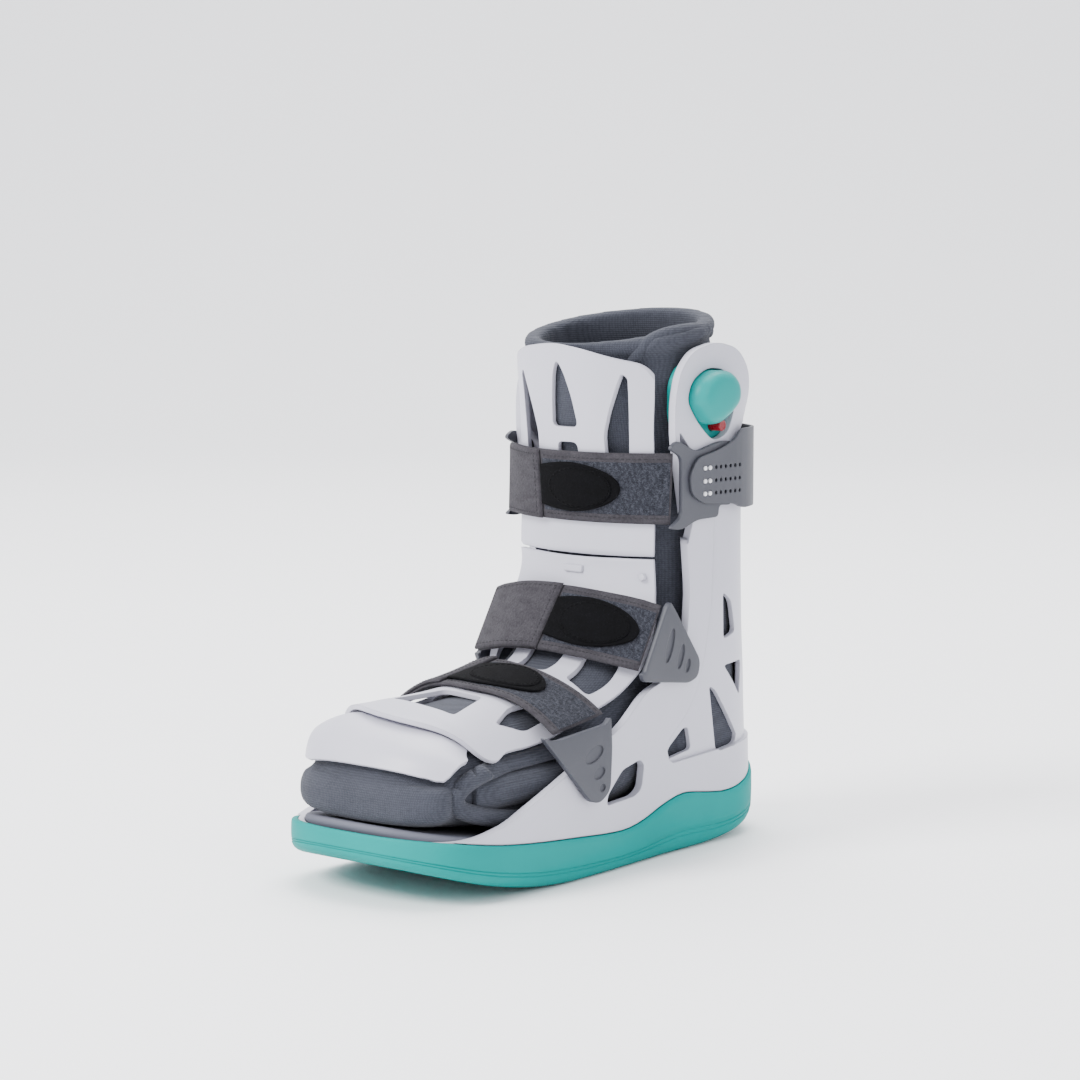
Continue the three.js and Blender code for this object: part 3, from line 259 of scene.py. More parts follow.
class Finish:
    """A short way to write a node tree round one Principled shader."""

    def __init__(self, name, roughness, **values):
        self.material = bpy.data.materials.new(name)
        self.material.use_nodes = True
        self.tree = self.material.node_tree
        self.shader = self.tree.nodes["Principled BSDF"]
        self.shader.inputs["Roughness"].default_value = roughness
        for label, value in values.items():
            self.shader.inputs[label.replace("_", " ").title().replace("Ior", "IOR")].default_value = value
        self.spot = self.node("ShaderNodeTexCoord").outputs["Object"]

    def node(self, kind, **settings):
        made = self.tree.nodes.new(kind)
        for label, value in settings.items():
            setattr(made, label, value)
        return made

    def link(self, source, target):
        self.tree.links.new(source, target)

    def feed(self, target, value):
        if isinstance(value, (int, float)):
            target.default_value = value
        else:
            self.link(value, target)

    def math(self, operation, first, second=0.0):
        made = self.node("ShaderNodeMath", operation=operation)
        self.feed(made.inputs[0], first)
        self.feed(made.inputs[1], second)
        return made.outputs[0]

    def noise(self, scale, detail=3.0, source=None, distortion=0.0):
        made = self.node("ShaderNodeTexNoise")
        made.inputs["Scale"].default_value = scale
        made.inputs["Detail"].default_value = detail
        made.inputs["Distortion"].default_value = distortion
        self.link(source or self.spot, made.inputs["Vector"])
        return made.outputs["Fac"]

    def stretched(self, scale):
        made = self.node("ShaderNodeMapping")
        made.inputs["Scale"].default_value = scale
        self.link(self.spot, made.inputs["Vector"])
        return made.outputs["Vector"]

    def bands(self, scale, direction, distortion=0.0):
        made = self.node("ShaderNodeTexWave", wave_type="BANDS", bands_direction=direction)
        made.inputs["Scale"].default_value = scale
        made.inputs["Distortion"].default_value = distortion
        made.inputs["Detail Scale"].default_value = 2.0
        self.link(self.spot, made.inputs["Vector"])
        return made.outputs["Fac"]

    def ramp(self, value, *stops):
        made = self.node("ShaderNodeValToRGB")
        elements = made.color_ramp.elements
        while len(elements) < len(stops):
            elements.new(0.5)
        for element, (place, colour) in zip(elements, stops):
            element.position = place
            element.color = (*colour, 1) if len(colour) == 3 else colour
        self.link(value, made.inputs["Fac"])
        return made.outputs["Color"]

    def colour(self, source):
        self.link(source, self.shader.inputs["Base Color"])

    def relief(self, height, strength, distance, rounding=0.0):
        bump = self.node("ShaderNodeBump")
        bump.inputs["Strength"].default_value = strength
        bump.inputs["Distance"].default_value = distance * MM
        self.link(height, bump.inputs["Height"])
        if rounding:
            bevel = self.node("ShaderNodeBevel", samples=4)
            bevel.inputs["Radius"].default_value = rounding * MM
            self.link(bevel.outputs["Normal"], bump.inputs["Normal"])
        self.link(bump.outputs["Normal"], self.shader.inputs["Normal"])

    def gloss(self, source, low, high):
        spread = self.node("ShaderNodeMapRange")
        spread.inputs["To Min"].default_value = low
        spread.inputs["To Max"].default_value = high
        self.link(source, spread.inputs["Value"])
        self.link(spread.outputs["Result"], self.shader.inputs["Roughness"])


def moulded(name, light, dark, roughness, grain=900, rounding=0.7, strength=0.12, **values):
    """Moulded plastic or rubber: a fine pebble, faint clouding and rounded edges."""
    finish = Finish(name, roughness, **values)
    cloud = finish.noise(14, 4)
    finish.colour(finish.ramp(cloud, (0.3, dark), (0.7, light)))
    finish.gloss(finish.noise(60, 4), roughness - 0.05, roughness + 0.07)
    finish.relief(finish.noise(grain, 2), strength, 0.12, rounding)
    return finish.material


def knit(name, light, dark, pitch):
    """A fleecy knit: rows of small loops, softened by a nap."""
    finish = Finish(name, 0.95, sheen_weight=0.06, sheen_roughness=0.6, specular_ior_level=0.2)
    wobble = finish.noise(38, 3)
    rows = finish.bands(math.pi / (10 * pitch * MM), "Z", distortion=0.6)
    wales = finish.bands(math.pi / (10 * pitch * MM), "X", distortion=0.6)
    loops = finish.math("MULTIPLY", finish.math("ADD", rows, 0.35), finish.math("ADD", wales, 0.5))
    fuzz = finish.noise(700, 4)
    height = finish.math("ADD", finish.math("MULTIPLY", loops, 0.6), finish.math("MULTIPLY", fuzz, 0.9))
    tone = finish.math("ADD", finish.math("MULTIPLY", loops, 0.3), finish.math("MULTIPLY", wobble, 0.7))
    fine = finish.math("MULTIPLY", fuzz, 0.5)
    finish.colour(finish.ramp(finish.math("ADD", finish.math("MULTIPLY", tone, 0.6), fine),
                              (0.25, dark), (0.75, light)))
    finish.relief(height, 0.35, 0.7)
    return finish.material


def webbing(name, light, dark, speck=None, sheen=0.04):
    """Brushed strap fabric, or a pile of woven loops where specks are given."""
    finish = Finish(name, 0.97, sheen_weight=sheen, sheen_roughness=0.5, specular_ior_level=0.12)
    pile = height = finish.noise(950, 5, distortion=0.7)
    if speck:
        knots = finish.noise(1500, 3, finish.stretched((1, 1, 2)), distortion=1.2)
        clumps = finish.noise(420, 3, finish.stretched((1.6, 1.6, 1)))
        loops = finish.math("ADD", finish.math("MULTIPLY", knots, 0.68), finish.math("MULTIPLY", clumps, 0.32))
        colour = finish.ramp(loops, (0.36, dark), (0.5, light), (0.63, speck))
        height = loops
    else:
        slub = finish.noise(90, 4, finish.stretched((1, 1, 3)))
        tone = finish.math("ADD", finish.math("MULTIPLY", pile, 0.6), finish.math("MULTIPLY", slub, 0.4))
        colour = finish.ramp(tone, (0.32, dark), (0.66, light))
    finish.colour(colour)
    finish.relief(height, 0.7, 0.8 if speck else 0.4)
    return finish.material


TEAL = moulded("teal_rubber", (0.0, 0.235, 0.218), (0.0, 0.205, 0.19), 0.5, 1100, 0.8, specular_ior_level=0.05)
SHELL_PLASTIC = moulded("shell_plastic", (0.47, 0.465, 0.53), (0.44, 0.435, 0.5), 0.40, 1400, 0.9)
FOOTBED = moulded("footbed_foam", (0.115, 0.118, 0.15), (0.095, 0.098, 0.126), 0.8, 700, 0.8, 0.4)
FITTING = moulded("fitting_plastic", (0.044, 0.046, 0.058), (0.037, 0.039, 0.05), 0.5, 1000, 0.8, 0.25)
PUMP = moulded("pump_rubber", (0.0, 0.235, 0.218), (0.0, 0.205, 0.19), 0.36, 1300, 1.2, specular_ior_level=0.18)
RED = moulded("button_plastic", (0.2, 0.0, 0.006), (0.17, 0.0, 0.005), 0.28, 1500, 0.4, 0.05)
WHITE = moulded("pin_plastic", (0.72, 0.72, 0.75), (0.66, 0.66, 0.69), 0.25, 1500, 0.3, 0.05)
KNIT = knit("liner_knit", (0.044, 0.047, 0.061), (0.017, 0.019, 0.026), 1.1)
BRUSHED = webbing("strap_brushed", (0.048, 0.045, 0.051), (0.022, 0.02, 0.024))
LOOP = webbing("strap_loop", (0.022, 0.0235, 0.031), (0.008, 0.0085, 0.012), (0.056, 0.059, 0.073))
BLACK = webbing("tab_fabric", (0.0022, 0.0022, 0.003), (0.0008, 0.0008, 0.001), sheen=0)
DARK_THREAD = webbing("tab_thread", (0.0016, 0.0016, 0.002), (0.0008, 0.0008, 0.001), sheen=0)
THREAD = webbing("stitch_thread", (0.034, 0.033, 0.037), (0.02, 0.019, 0.022))
LABEL = webbing("label_cloth", (0.66, 0.66, 0.68), (0.58, 0.58, 0.61))


# The sole

SOLE_PLAN = [(0, 0.9), (0.12, 0.975), (0.24, 1), (0.4, 0.95), (0.5, 0.9), (0.64, 0.83),
             (0.78, 0.79), (0.88, 0.765), (1, 0.75)]
SIDEWALL = [(0, 1), (0.06, 0.94), (0.19, 0.78), (0.38, 0.64), (0.5, 0.57), (0.56, 0.63), (0.63, 0.8),
            (0.69, 0.89), (0.76, 0.82), (0.82, 0.77), (0.89, 0.86), (0.95, 1.02), (1, 1.14)]
out_share = curve(SOLE_PLAN, 0, 1)
lip_share = curve(SIDEWALL, 0, 1)


def share_of(y):
    return y / SOLE_LENGTH + 0.5


def sole_half(y):
    return out_share(share_of(y)) * BALL_HALF


def sidewall_top(y):
    return lip_share(share_of(y)) * SOLE["lip"]


def sole_bottom(y):
    toe = max(0, (SOLE["flat_from"] - share_of(y)) / SOLE["flat_from"])
    heel = max(0, (share_of(y) - SOLE["flat_to"]) / (1 - SOLE["flat_to"]))
    return SOLE["toe_rise"] * toe * toe + SOLE["heel_rise"] * heel * heel


def bed_top(y):
    toe = max(0, (BED["lift_from"] - share_of(y)) / BED["lift_from"])
    return BED["height"] + BED["toe_lift"] * toe * toe


def foot_ring(inset, height, heel=SOLE_LENGTH / 2, half=sole_half, heel_power=2.0):
    toe_steps, side_steps, heel_steps, toe_power = 16, 24, 16, 2.7
    toe = -SOLE_LENGTH / 2 + inset
    toe_round = SOLE["toe_round"] - inset / 2
    heel_round = SOLE["heel_round"] - inset / 2
    right = []
    for t in shares(toe_steps):
        angle = t * math.pi / 2
        y = toe + toe_round * (1 - max(math.cos(angle), 0) ** (2 / toe_power))
        right.append((y, (half(y) - inset) * math.sin(angle) ** (2 / toe_power)))
    start, end = toe + toe_round, heel - heel_round
    for t in shares(side_steps)[1:-1]:
        y = start + (end - start) * t
        right.append((y, half(y) - inset))
    for t in reversed(shares(heel_steps)):
        angle = t * math.pi / 2
        y = heel - heel_round * (1 - max(math.cos(angle), 0) ** (2 / heel_power))
        right.append((y, 0 if t == 0 else (half(y) - inset) * math.sin(angle) ** (2 / heel_power)))
    ring = [Vector((x, y, height(y))) for y, x in right]
    ring[0].x = 0
    return ring + [Vector((-p.x, p.y, p.z)) for p in reversed(ring[1:-1])]


# How far up the sidewall, and how far in from the outline: two fine grooves run round it
SOLE_LEVELS = [(0, 8), (0.005, 5), (0.03, 3), (0.08, 1.6), (0.15, 0.8), (0.22, 0.35), (0.26, 0.25),
               (0.275, 0.6), (0.29, 0.25), (0.34, 0.15), (0.355, 0.5), (0.37, 0.12), (0.5, 0),
               (0.7, 0), (0.88, 0.1), (0.96, 0.35), (1, 1)]


def outsole():
    rings = [foot_ring(
        inset,
        lambda y, rise=rise: sole_bottom(y) + (sidewall_top(y) - sole_bottom(y)) * rise,
        heel=SOLE_LENGTH / 2 - inset) for rise, inset in SOLE_LEVELS]
    body = piece("outsole_rubber", closed_loft(rings))
    cut(body, shell_loft(SOLE["rim"], -GAP))
    return finish_piece(body, "outsole", TEAL, angle=45)


# The shell

SHELL_BACK = [(0, 1), (0.1, 1), (0.18, 0.992), (0.29, 0.972), (0.4, 0.957), (0.78, 0.952), (0.95, 0.948)]
SHELL_PROFILE = [
    (0.02, 0.02), (0.02, 0.112), (0.09, 0.112), (0.128, 0.118), (0.185, 0.132), (0.228, 0.151),
    (0.341, 0.194), (0.431, 0.23), (0.5, 0.259), (0.566, 0.313), (0.62, 0.33), (0.676, 0.396),
    (0.683, 0.486), (0.672, 0.597), (0.641, 0.766), (0.641, 0.838), (0.655, 0.89), (0.69, 0.926),
    (0.755, 0.94), (0.815, 0.926), (0.85, 0.885), (0.855, 0.835), (0.845, 0.766), (0.845, 0.7),
    (0.875, 0.63), (0.93, 0.6), (1.03, 0.595), (1.03, 0.02)]
SET_BACK = [(0.86, 0.8), (0.754, 0.7), (0.745, 0.464), (0.728, 0.371), (0.712, 0.299), (0.684, 0.256),
            (0.63, 0.207), (0.645, 0.169), (0.86, 0.18), (1.1, 0.195), (1.1, 0.8)]
SHELL_WINDOWS = [
    [(0.452, 0.122), (0.455, 0.14), (0.5, 0.18), (0.552, 0.191), (0.566, 0.18), (0.559, 0.137), (0.538, 0.126)],
    [(0.638, 0.176), (0.645, 0.198), (0.686, 0.23), (0.7, 0.23), (0.714, 0.187)],
    [(0.752, 0.302), (0.772, 0.291), (0.855, 0.194), (0.848, 0.178), (0.79, 0.172)],
    [(0.784, 0.475), (0.81, 0.455), (0.824, 0.396), (0.786, 0.385)],
    [(0.79, 0.336), (0.855, 0.34), (0.855, 0.27)],
    [(0.652, 0.782), (0.69, 0.738), (0.693, 0.62), (0.676, 0.568), (0.667, 0.62), (0.655, 0.738)],
]
PUMP_HOLE = [(0.672, 0.835), (0.686, 0.871), (0.728, 0.894), (0.776, 0.888), (0.803, 0.863),
             (0.807, 0.81), (0.785, 0.767), (0.745, 0.757), (0.705, 0.79)]
SHELL_LEVELS = [i / 44 * 1.02 for i in range(45)]
back_share = curve(SHELL_BACK, 0, 1)
WIDE = BALL_HALF * 2


def shell_ring(inset, height):
    depth = inset - SOLE["rim"] - GAP
    upper_half = SHELL["half"] - SHELL["cladding"] - depth
    level = height(0)
    rise = smooth_step(level, up(0.1), up(0.4))
    return foot_ring(
        inset,
        height,
        heel=along(back_share(level / BOOT_HEIGHT)) - inset,
        half=lambda y: sole_half(y) + (upper_half + inset - sole_half(y)) * rise,
        heel_power=2 + 1.3 * smooth_step(level, up(0.785), up(0.88)))


def shell_loft(inset, floor_lift):
    def height(share):
        def at(y):
            low = bed_top(y) + GAP + floor_lift
            return low + (SHELL["crown"] - low) * share
        return at
    return closed_loft([shell_ring(inset, height(share)) for share in SHELL_LEVELS])


def sidewall_outline(lift, low):
    top = [(along(-0.02 + 1.04 * t), sidewall_top(along(-0.02 + 1.04 * t)) + lift) for t in shares(48)]
    return [*top, (along(1.02), low), (along(-0.02), low)]


def shell():
    core = piece("shell_moulding", shell_loft(CORE, 0))
    raised = piece("raised", shell_loft(CORE - SHELL["cladding"], 0))
    cut(raised, prism(sidewall_outline(2 * GAP, -10), -WIDE, WIDE, "x"))
    cut(raised, prism(rounded(side(SET_BACK), 5), -WIDE, WIDE, "x"))
    edges = bmesh.new()
    edges.from_mesh(raised.data)
    bpy.data.objects.remove(raised)
    cut(core, edges, "UNION")
    cut(core, shell_loft(CORE + SHELL["wall"], SHELL["floor"]))
    cut(core, prism(rounded(side(SHELL_PROFILE), 7), -WIDE, WIDE, "x"), "INTERSECT")
    windows = bmesh.new()
    for rows in SHELL_WINDOWS:
        prism(rounded(side(rows), 3), -WIDE, WIDE, "x", windows)
    prism(rounded(side(PUMP_HOLE), 7), 0, WIDE, "x", windows)
    cut(core, windows)
    return finish_piece(core, "shell", SHELL_PLASTIC)


def insole():
    inset = CORE + SHELL["wall"] + GAP
    levels = [(0, 2.2), (0.1, 1.0), (0.28, 0.2), (0.5, 0), (0.72, 0.2), (0.9, 1.0), (0.98, 2.2), (1, 4.5)]
    rings = [foot_ring(
        inset + trim,
        lambda y, lift=lift: bed_top(y) + 2 * GAP + SHELL["floor"] + 6 * lift,
        heel=SOLE_LENGTH / 2 - inset - trim - 1) for lift, trim in levels]
    return finish_piece(piece("footbed", closed_loft(rings)), "insole", FOOTBED, angle=60)


# The hard front: along, up, half, drop, power, tilt

INSTEP_LINE = [
    (0.586, 0.545, 1, 0.22, 2.2, 0), (0.588, 0.522, 1, 0.22, 2.2, 0), (0.583, 0.493, 1.04, 0.21, 2, 0),
    (0.569, 0.463, 1.12, 0.2, 2, 0), (0.545, 0.419, 1.17, 0.2, 2, 0), (0.522, 0.387, 1.12, 0.25, 2.1, 0.005),
    (0.493, 0.361, 1.02, 0.32, 2.3, 0.01), (0.431, 0.345, 0.98, 0.38, 2.7, 0.03),
    (0.355, 0.332, 1, 0.41, 3, 0.045), (0.293, 0.324, 1, 0.41, 3.2, 0.06), (0.235, 0.319, 1, 0.38, 3.3, 0.08),
    (0.197, 0.316, 1.06, 0.33, 3.4, 0.095), (0.17, 0.313, 1.03, 0.29, 3.5, 0.1),
    (0.15, 0.312, 0.84, 0.26, 3.5, 0.1), (0.132, 0.311, 0.6, 0.24, 3.5, 0.1),
    (0.118, 0.3105, 0.36, 0.24, 3.5, 0.1), (0.112, 0.31, 0.12, 0.24, 3.5, 0.1)]
SHIN_LINE = [
    (0.536, 0.955, 1.04, 0.42, 2.3, 0), (0.545, 0.903, 1.04, 0.41, 2.3, 0), (0.557, 0.84, 1.02, 0.38, 2.3, 0),
    (0.567, 0.775, 1, 0.34, 2.3, 0), (0.575, 0.71, 1, 0.3, 2.3, 0), (0.583, 0.62, 1, 0.25, 2.2, 0),
    (0.586, 0.55, 1, 0.22, 2.2, 0)]
TOE_CAP_LINE = [
    (0.183, 0.3, 0.76, 0.3, 3.5, 0.1), (0.155, 0.298, 0.84, 0.28, 3.5, 0.1),
    (0.128, 0.295, 0.97, 0.2, 3.5, 0.1), (0.1, 0.286, 1, 0.17, 3.5, 0.09), (0.076, 0.273, 1, 0.19, 3.4, 0.07),
    (0.058, 0.257, 0.985, 0.22, 3.2, 0.05), (0.047, 0.243, 0.955, 0.24, 3, 0.04),
    (0.042, 0.235, 0.89, 0.25, 3, 0.03), (0.04, 0.231, 0.74, 0.26, 3, 0.02)]
# What the sock leaves free below the cap: it drops sooner than the cap does
CAP_ROOM_LINE = [
    *TOE_CAP_LINE[:3], (0.1, 0.285, 1, 0.17, 3.5, 0.09), (0.076, 0.268, 1, 0.2, 3.4, 0.06),
    (0.057, 0.247, 0.98, 0.25, 3.2, 0.03), (0.046, 0.228, 0.93, 0.28, 3, 0.01), (0.042, 0.216, 0.8, 0.3, 3, 0),
    (0.04, 0.21, 0.58, 0.3, 3, 0)]
ALONG, UP, HALF, DROP, POWER, TILT = range(6)


def bowed(drop, power, tilt, x):
    share = abs(x) / PANEL["half"]
    fall = drop * PANEL["half"] * share ** power + tilt * x
    lean = math.copysign(power * drop * share ** (power - 1), x) + tilt
    return fall, lean


class Sweep:
    """A surface swept through the rows of a table, read at any place between them."""

    def __init__(self, rows):
        numbered = [(i, *row) for i, row in enumerate(rows)]
        self.last = len(rows) - 1
        self.columns = [curve(numbered, 0, column + 1) for column in range(6)]

    def read(self, t):
        return [column(t) for column in self.columns]

    def point(self, t, x, lift):
        here = self.read(t)
        before, after = self.read(max(t - 0.3, 0)), self.read(min(t + 0.3, self.last))
        run = Vector((along(after[ALONG]) - along(before[ALONG]), up(after[UP]) - up(before[UP]))).normalized()
        fall, lean = bowed(here[DROP], here[POWER], here[TILT], x)
        scale = lift / math.hypot(1, lean)
        return Vector((x + lean * scale,
                       along(here[ALONG]) + run.y * (scale - fall),
                       up(here[UP]) - run.x * (scale - fall)))

    def slab(self, half_width, inner, outer, grow=0.0, across=36, levels=64):
        middle = (inner + outer) / 2
        rings = []
        for share in shares(levels):
            t = share * self.last
            half = self.read(t)[HALF] * half_width + grow
            lifts = (middle, middle) if share in (0, 1) else (inner, outer)
            spread = [half * (2 * u - 1) for u in shares(across)]
            rings.append([self.point(t, x, lifts[1]) for x in spread]
                         + [self.point(t, x, lifts[0]) for x in reversed(spread)])
        return loft(rings)


shin_sweep, instep_sweep, cap_sweep = Sweep(SHIN_LINE), Sweep(INSTEP_LINE), Sweep(TOE_CAP_LINE)
cap_room = Sweep(CAP_ROOM_LINE)
SHIN_WINDOWS = [
    [(-0.03, 0.91), (0.05, 0.885), (0.12, 0.84), (0.17, 0.785), (-0.21, 0.785), (-0.17, 0.84), (-0.11, 0.885)],
    [(-0.155, 0.757), (0.14, 0.757), (0.17, 0.66), (-0.13, 0.66)],
]
SHIN_PAIRS = [[(0.73, 0.886), (0.79, 0.878), (0.75, 0.7), (0.5, 0.7), (0.49, 0.773), (0.56, 0.813),
               (0.65, 0.853)]]
SHIN_TOP = [(1.2, 0.82), (1.04, 0.87), (0.93, 0.903), (0.6, 0.916), (0.3, 0.93), (-0.1, 0.94), (-0.6, 0.93),
            (-0.95, 0.912), (-1.04, 0.88), (-1.2, 0.82)]
INSTEP_WINDOWS = [
    [(-0.46, 0.197), (0.46, 0.197), (0.28, 0.3), (-0.28, 0.3)],
    [(-0.22, 0.463), (0.24, 0.463), (0.26, 0.56), (-0.24, 0.56)],
]
INSTEP_PAIRS = [
    [(0.74, 0.252), (0.89, 0.3), (0.86, 0.36), (0.62, 0.36), (0.6, 0.31)],
    [(0.52, 0.47), (0.84, 0.47), (0.92, 0.555), (0.5, 0.555)],
]


def front_windows(single, pairs, scale, low, high, axis):
    mesh = bmesh.new()
    flipped = [[(-a, b) for a, b in rows] for rows in pairs]
    for rows in [*single, *pairs, *flipped]:
        prism(rounded([(a * PANEL["half"], scale(b)) for a, b in rows], 3.5), low, high, axis, mesh)
    return mesh


def shin_panel():
    slab = piece("shin_guard", shin_sweep.slab(PANEL["half"], -PANEL["thickness"], 0))
    edge = PANEL["seam"] + PANEL["seam_gap"]
    top = [(a * PANEL["half"], up(b)) for a, b in SHIN_TOP]
    outline = [(-PANEL["half"] * 1.2, edge), (PANEL["half"] * 1.2, edge), *top]
    cut(slab, prism(rounded(outline, 9), along(0.3), along(0.9), "y"), "INTERSECT")
    cut(slab, front_windows(SHIN_WINDOWS, SHIN_PAIRS, up, along(0.3), along(0.9), "y"))
    return finish_piece(slab, "shin_panel", SHELL_PLASTIC)


# A raised key and a rivet, low on the front of the panel
KEY_OUTLINE = [(-6, 143.5), (6, 143.5), (6, 147), (-6, 147)]
RIVET = {"x": 40, "z": 143, "set_back": 7.1, "radius": 1.9, "depth": 2.4}


def instep_panel():
    slab = piece("instep_guard", instep_sweep.slab(PANEL["half"], -PANEL["thickness"], 0, levels=120))
    above = [(-WIDE, PANEL["seam"]), (WIDE, PANEL["seam"]), (WIDE, BOOT_HEIGHT), (-WIDE, BOOT_HEIGHT)]
    cut(slab, prism(above, along(0), along(1), "y"))
    cut(slab, front_windows(INSTEP_WINDOWS, INSTEP_PAIRS, along, up(0.15), up(0.5), "z"))
    face = along(0.586)
    key = prism(rounded(KEY_OUTLINE, 0.8), face - 0.9, face + 1, "y")
    rivet = bmesh.new()
    place = Matrix.Translation(Vector((RIVET["x"], face + RIVET["set_back"], RIVET["z"])) * MM)
    bmesh.ops.create_cone(rivet, cap_ends=True, segments=28, radius1=RIVET["radius"] * MM,
                          radius2=RIVET["radius"] * MM, depth=RIVET["depth"] * MM,
                          matrix=place @ Matrix.Rotation(math.pi / 2, 4, "X"))
    soften(rivet, 0.5)
    join(slab, piece("key", soften(key, 0.35)), piece("rivet", rivet))
    return finish_piece(slab, "instep_panel", SHELL_PLASTIC)


def toe_cap():
    slab = piece("toe_guard", cap_sweep.slab(TOE_CAP["half"], -TOE_CAP["thickness"], 0))
    cut(slab, instep_sweep.slab(PANEL["half"], -PANEL["thickness"] - GAP, 40, 6))
    return finish_piece(slab, "toe_cap", SHELL_PLASTIC)


# The liner

LEG_LINE = [
    (None, 0.62, 0.93, 0.9, 0), (0.12, 0.6, 0.955, 0.97, 0), (0.2, 0.58, 0.955, 1, 0),
    (0.36, 0.58, 0.945, 1, 0),
    (0.44, 0.6, 0.94, 1, 0), (0.53, 0.603, 0.938, 1, 0), (0.65, 0.594, 0.935, 1, 0.1),
    (0.78, 0.578, 0.925, 1, 0.3), (0.88, 0.558, 0.893, 1, 0.8)]
RIM = {"row": (0.968, 0.548, 0.872, 0.97, 1), "drop": 0.027, "depth": 0.036}
FOOT_LINE = [(0.028, 0.205), (0.069, 0.25), (0.121, 0.292), (0.293, 0.312), (0.431, 0.334), (0.5, 0.352),
             (0.541, 0.4), (0.6, 0.44), (0.75, 0.44)]
FOOT_SHARES = [0, 0.004, 0.01, 0.02, 0.035, 0.055, 0.08, 0.12, 0.16, 0.22, 0.28, 0.34, 0.4, 0.44, 0.47, 0.5,
               0.53, 0.58, 0.66]
foot_top = curve(FOOT_LINE, 0, 1)


def liner_low(y):
    return bed_top(y) + SHELL["floor"] + 6 + 3 * GAP


def leg_ring(row, inset, lift):
    level, front, back, half, tilt = row
    front, back = along(front) + inset, along(back) - inset
    half = half * (WALL_INSIDE - LINER["slack"]) - inset
    middle = (front + back) / 2
    ring = []
    for i in range(96):
        angle = i / 48 * math.pi
        x = half * math.sin(angle)
        y = middle - (middle - front) * math.cos(angle)
        lean = tilt * RIM["drop"] * BOOT_HEIGHT * (y - middle) / (back - middle)
        z = liner_low(y) if level is None else up(level)
        ring.append(Vector((x, y, z + lean + lift)))
    return ring


def between(first, second, t):
    return [a.lerp(b, t) for a, b in zip(first, second)]


def leg_outer():
    roll = RIM["depth"] * BOOT_HEIGHT
    rings = [leg_ring(row, 0, 0) for row in LEG_LINE]
    filled = []
    for first, second in zip(rings, rings[1:]):
        filled += [between(first, second, t) for t in (0, 0.25, 0.5, 0.75)]
    filled.append(rings[-1])
    for inset, lift in ((0.8, -1), (0.2, -0.9), (-0.75, -0.75), (-1, -0.55), (-1, -0.35), (-0.8, -0.17),
                        (-0.2, -0.04), (1.1, 0), (2, -0.08), (2.6, -0.22)):
        filled.append(leg_ring(RIM["row"], inset * LINER["roll"], lift * roll))
    return closed_loft(filled)


def leg_inner():
    roll = RIM["depth"] * BOOT_HEIGHT
    rings = [leg_ring(LEG_LINE[0], LINER["wall"], LINER["foot_wall"])]
    rings += [leg_ring(row, LINER["wall"], 0) for row in LEG_LINE[1:]]
    rings += [leg_ring(RIM["row"], LINER["wall"], -roll), leg_ring(RIM["row"], LINER["wall"], 20)]
    return closed_loft(rings)


def foot_section(share, inset, toe_share):
    y = along(share)
    away = min(max((share - toe_share) / 0.11, 0), 1)
    full = (1 - (1 - away) ** 2.6) ** (1 / 2.6)
    low = liner_low(y) + inset
    high = up(foot_top(share)) - inset
    middle = low + (high - low) * 0.42
    room = sole_half(y) - CORE - SHELL["wall"] - LINER["slack"] - inset
    slim = LINER["flap_roll"] * 2 * smooth_step(share, 0.07, 0.13) * (1 - smooth_step(share, 0.4, 0.5))
    half = (room - slim) * (0.4 + 0.6 * full)
    ring = []
    for i in range(64):
        angle = i / 32 * math.pi
        c, s = math.cos(angle), math.sin(angle)
        reach = high - middle if c > 0 else middle - low
        closing = 0.45 + 0.55 * full if c > 0 else 0.85 + 0.15 * full
        tall = math.copysign(abs(c) ** (1 if c > 0 else 0.45), c) * reach * closing
        ring.append(Vector((half * math.copysign(abs(s) ** 0.85, s), y, middle + tall)))
    return ring


def foot_loft(inset):
    toe_share = 0.028 + inset / SOLE_LENGTH
    return closed_loft([foot_section(toe_share + share, inset, toe_share) for share in FOOT_SHARES])


TUBE = {"steps": 60, "sides": 16, "end": 0.06}


def tube(path, radius, name):
    """A round roll along a smooth path, closed at both ends."""
    rows = [(i, *point) for i, point in enumerate(path)]
    route = [curve(rows, 0, column) for column in (1, 2, 3)]
    last = len(path) - 1
    at = lambda t: Vector([axis(t) for axis in route])
    rings = []
    lean = Vector((0, 0, 1))
    for t in shares(TUBE["steps"]):
        place = at(t * last)
        ahead = (at(min(t * last + 0.05, last)) - at(max(t * last - 0.05, 0))).normalized()
        first = ahead.cross(lean).normalized()
        lean = first.cross(ahead).normalized()
        past = max(0, abs(2 * t - 1) - (1 - TUBE["end"])) / TUBE["end"]
        size = radius * math.sqrt(max(0.04, 1 - past ** 2))
        turns = [k * math.tau / TUBE["sides"] for k in range(TUBE["sides"])]
        rings.append([place + (first * math.cos(a) + lean * math.sin(a)) * size for a in turns])
    return piece(name, closed_loft(rings, hub))


# The bound edge beside the toes, turned back on itself, and the one across the collar's front
FLAP_PATH = [(0.38, 0.236, 0.74), (0.3, 0.231, 0.755), (0.23, 0.227, 0.765), (0.165, 0.216, 0.762),
             (0.122, 0.199, 0.748), (0.108, 0.18, 0.74), (0.118, 0.162, 0.745), (0.16, 0.145, 0.76),
             (0.23, 0.129, 0.775), (0.3, 0.12, 0.78), (0.36, 0.116, 0.775)]
PAD_PATH = [(0.47, 0.19, 0.65), (0.38, 0.184, 0.67), (0.29, 0.18, 0.68), (0.2, 0.179, 0.675),
            (0.155, 0.18, 0.63)]
COLLAR_PATH = [(33, 92, 264), (40, 83, 266.5), (44, 70, 267.6), (44, 54, 267), (41.3, 44.5, 265.2),
               (38.1, 38, 261.8), (35.6, 34.5, 257.5), (33, 32.5, 252), (30, 33, 246)]
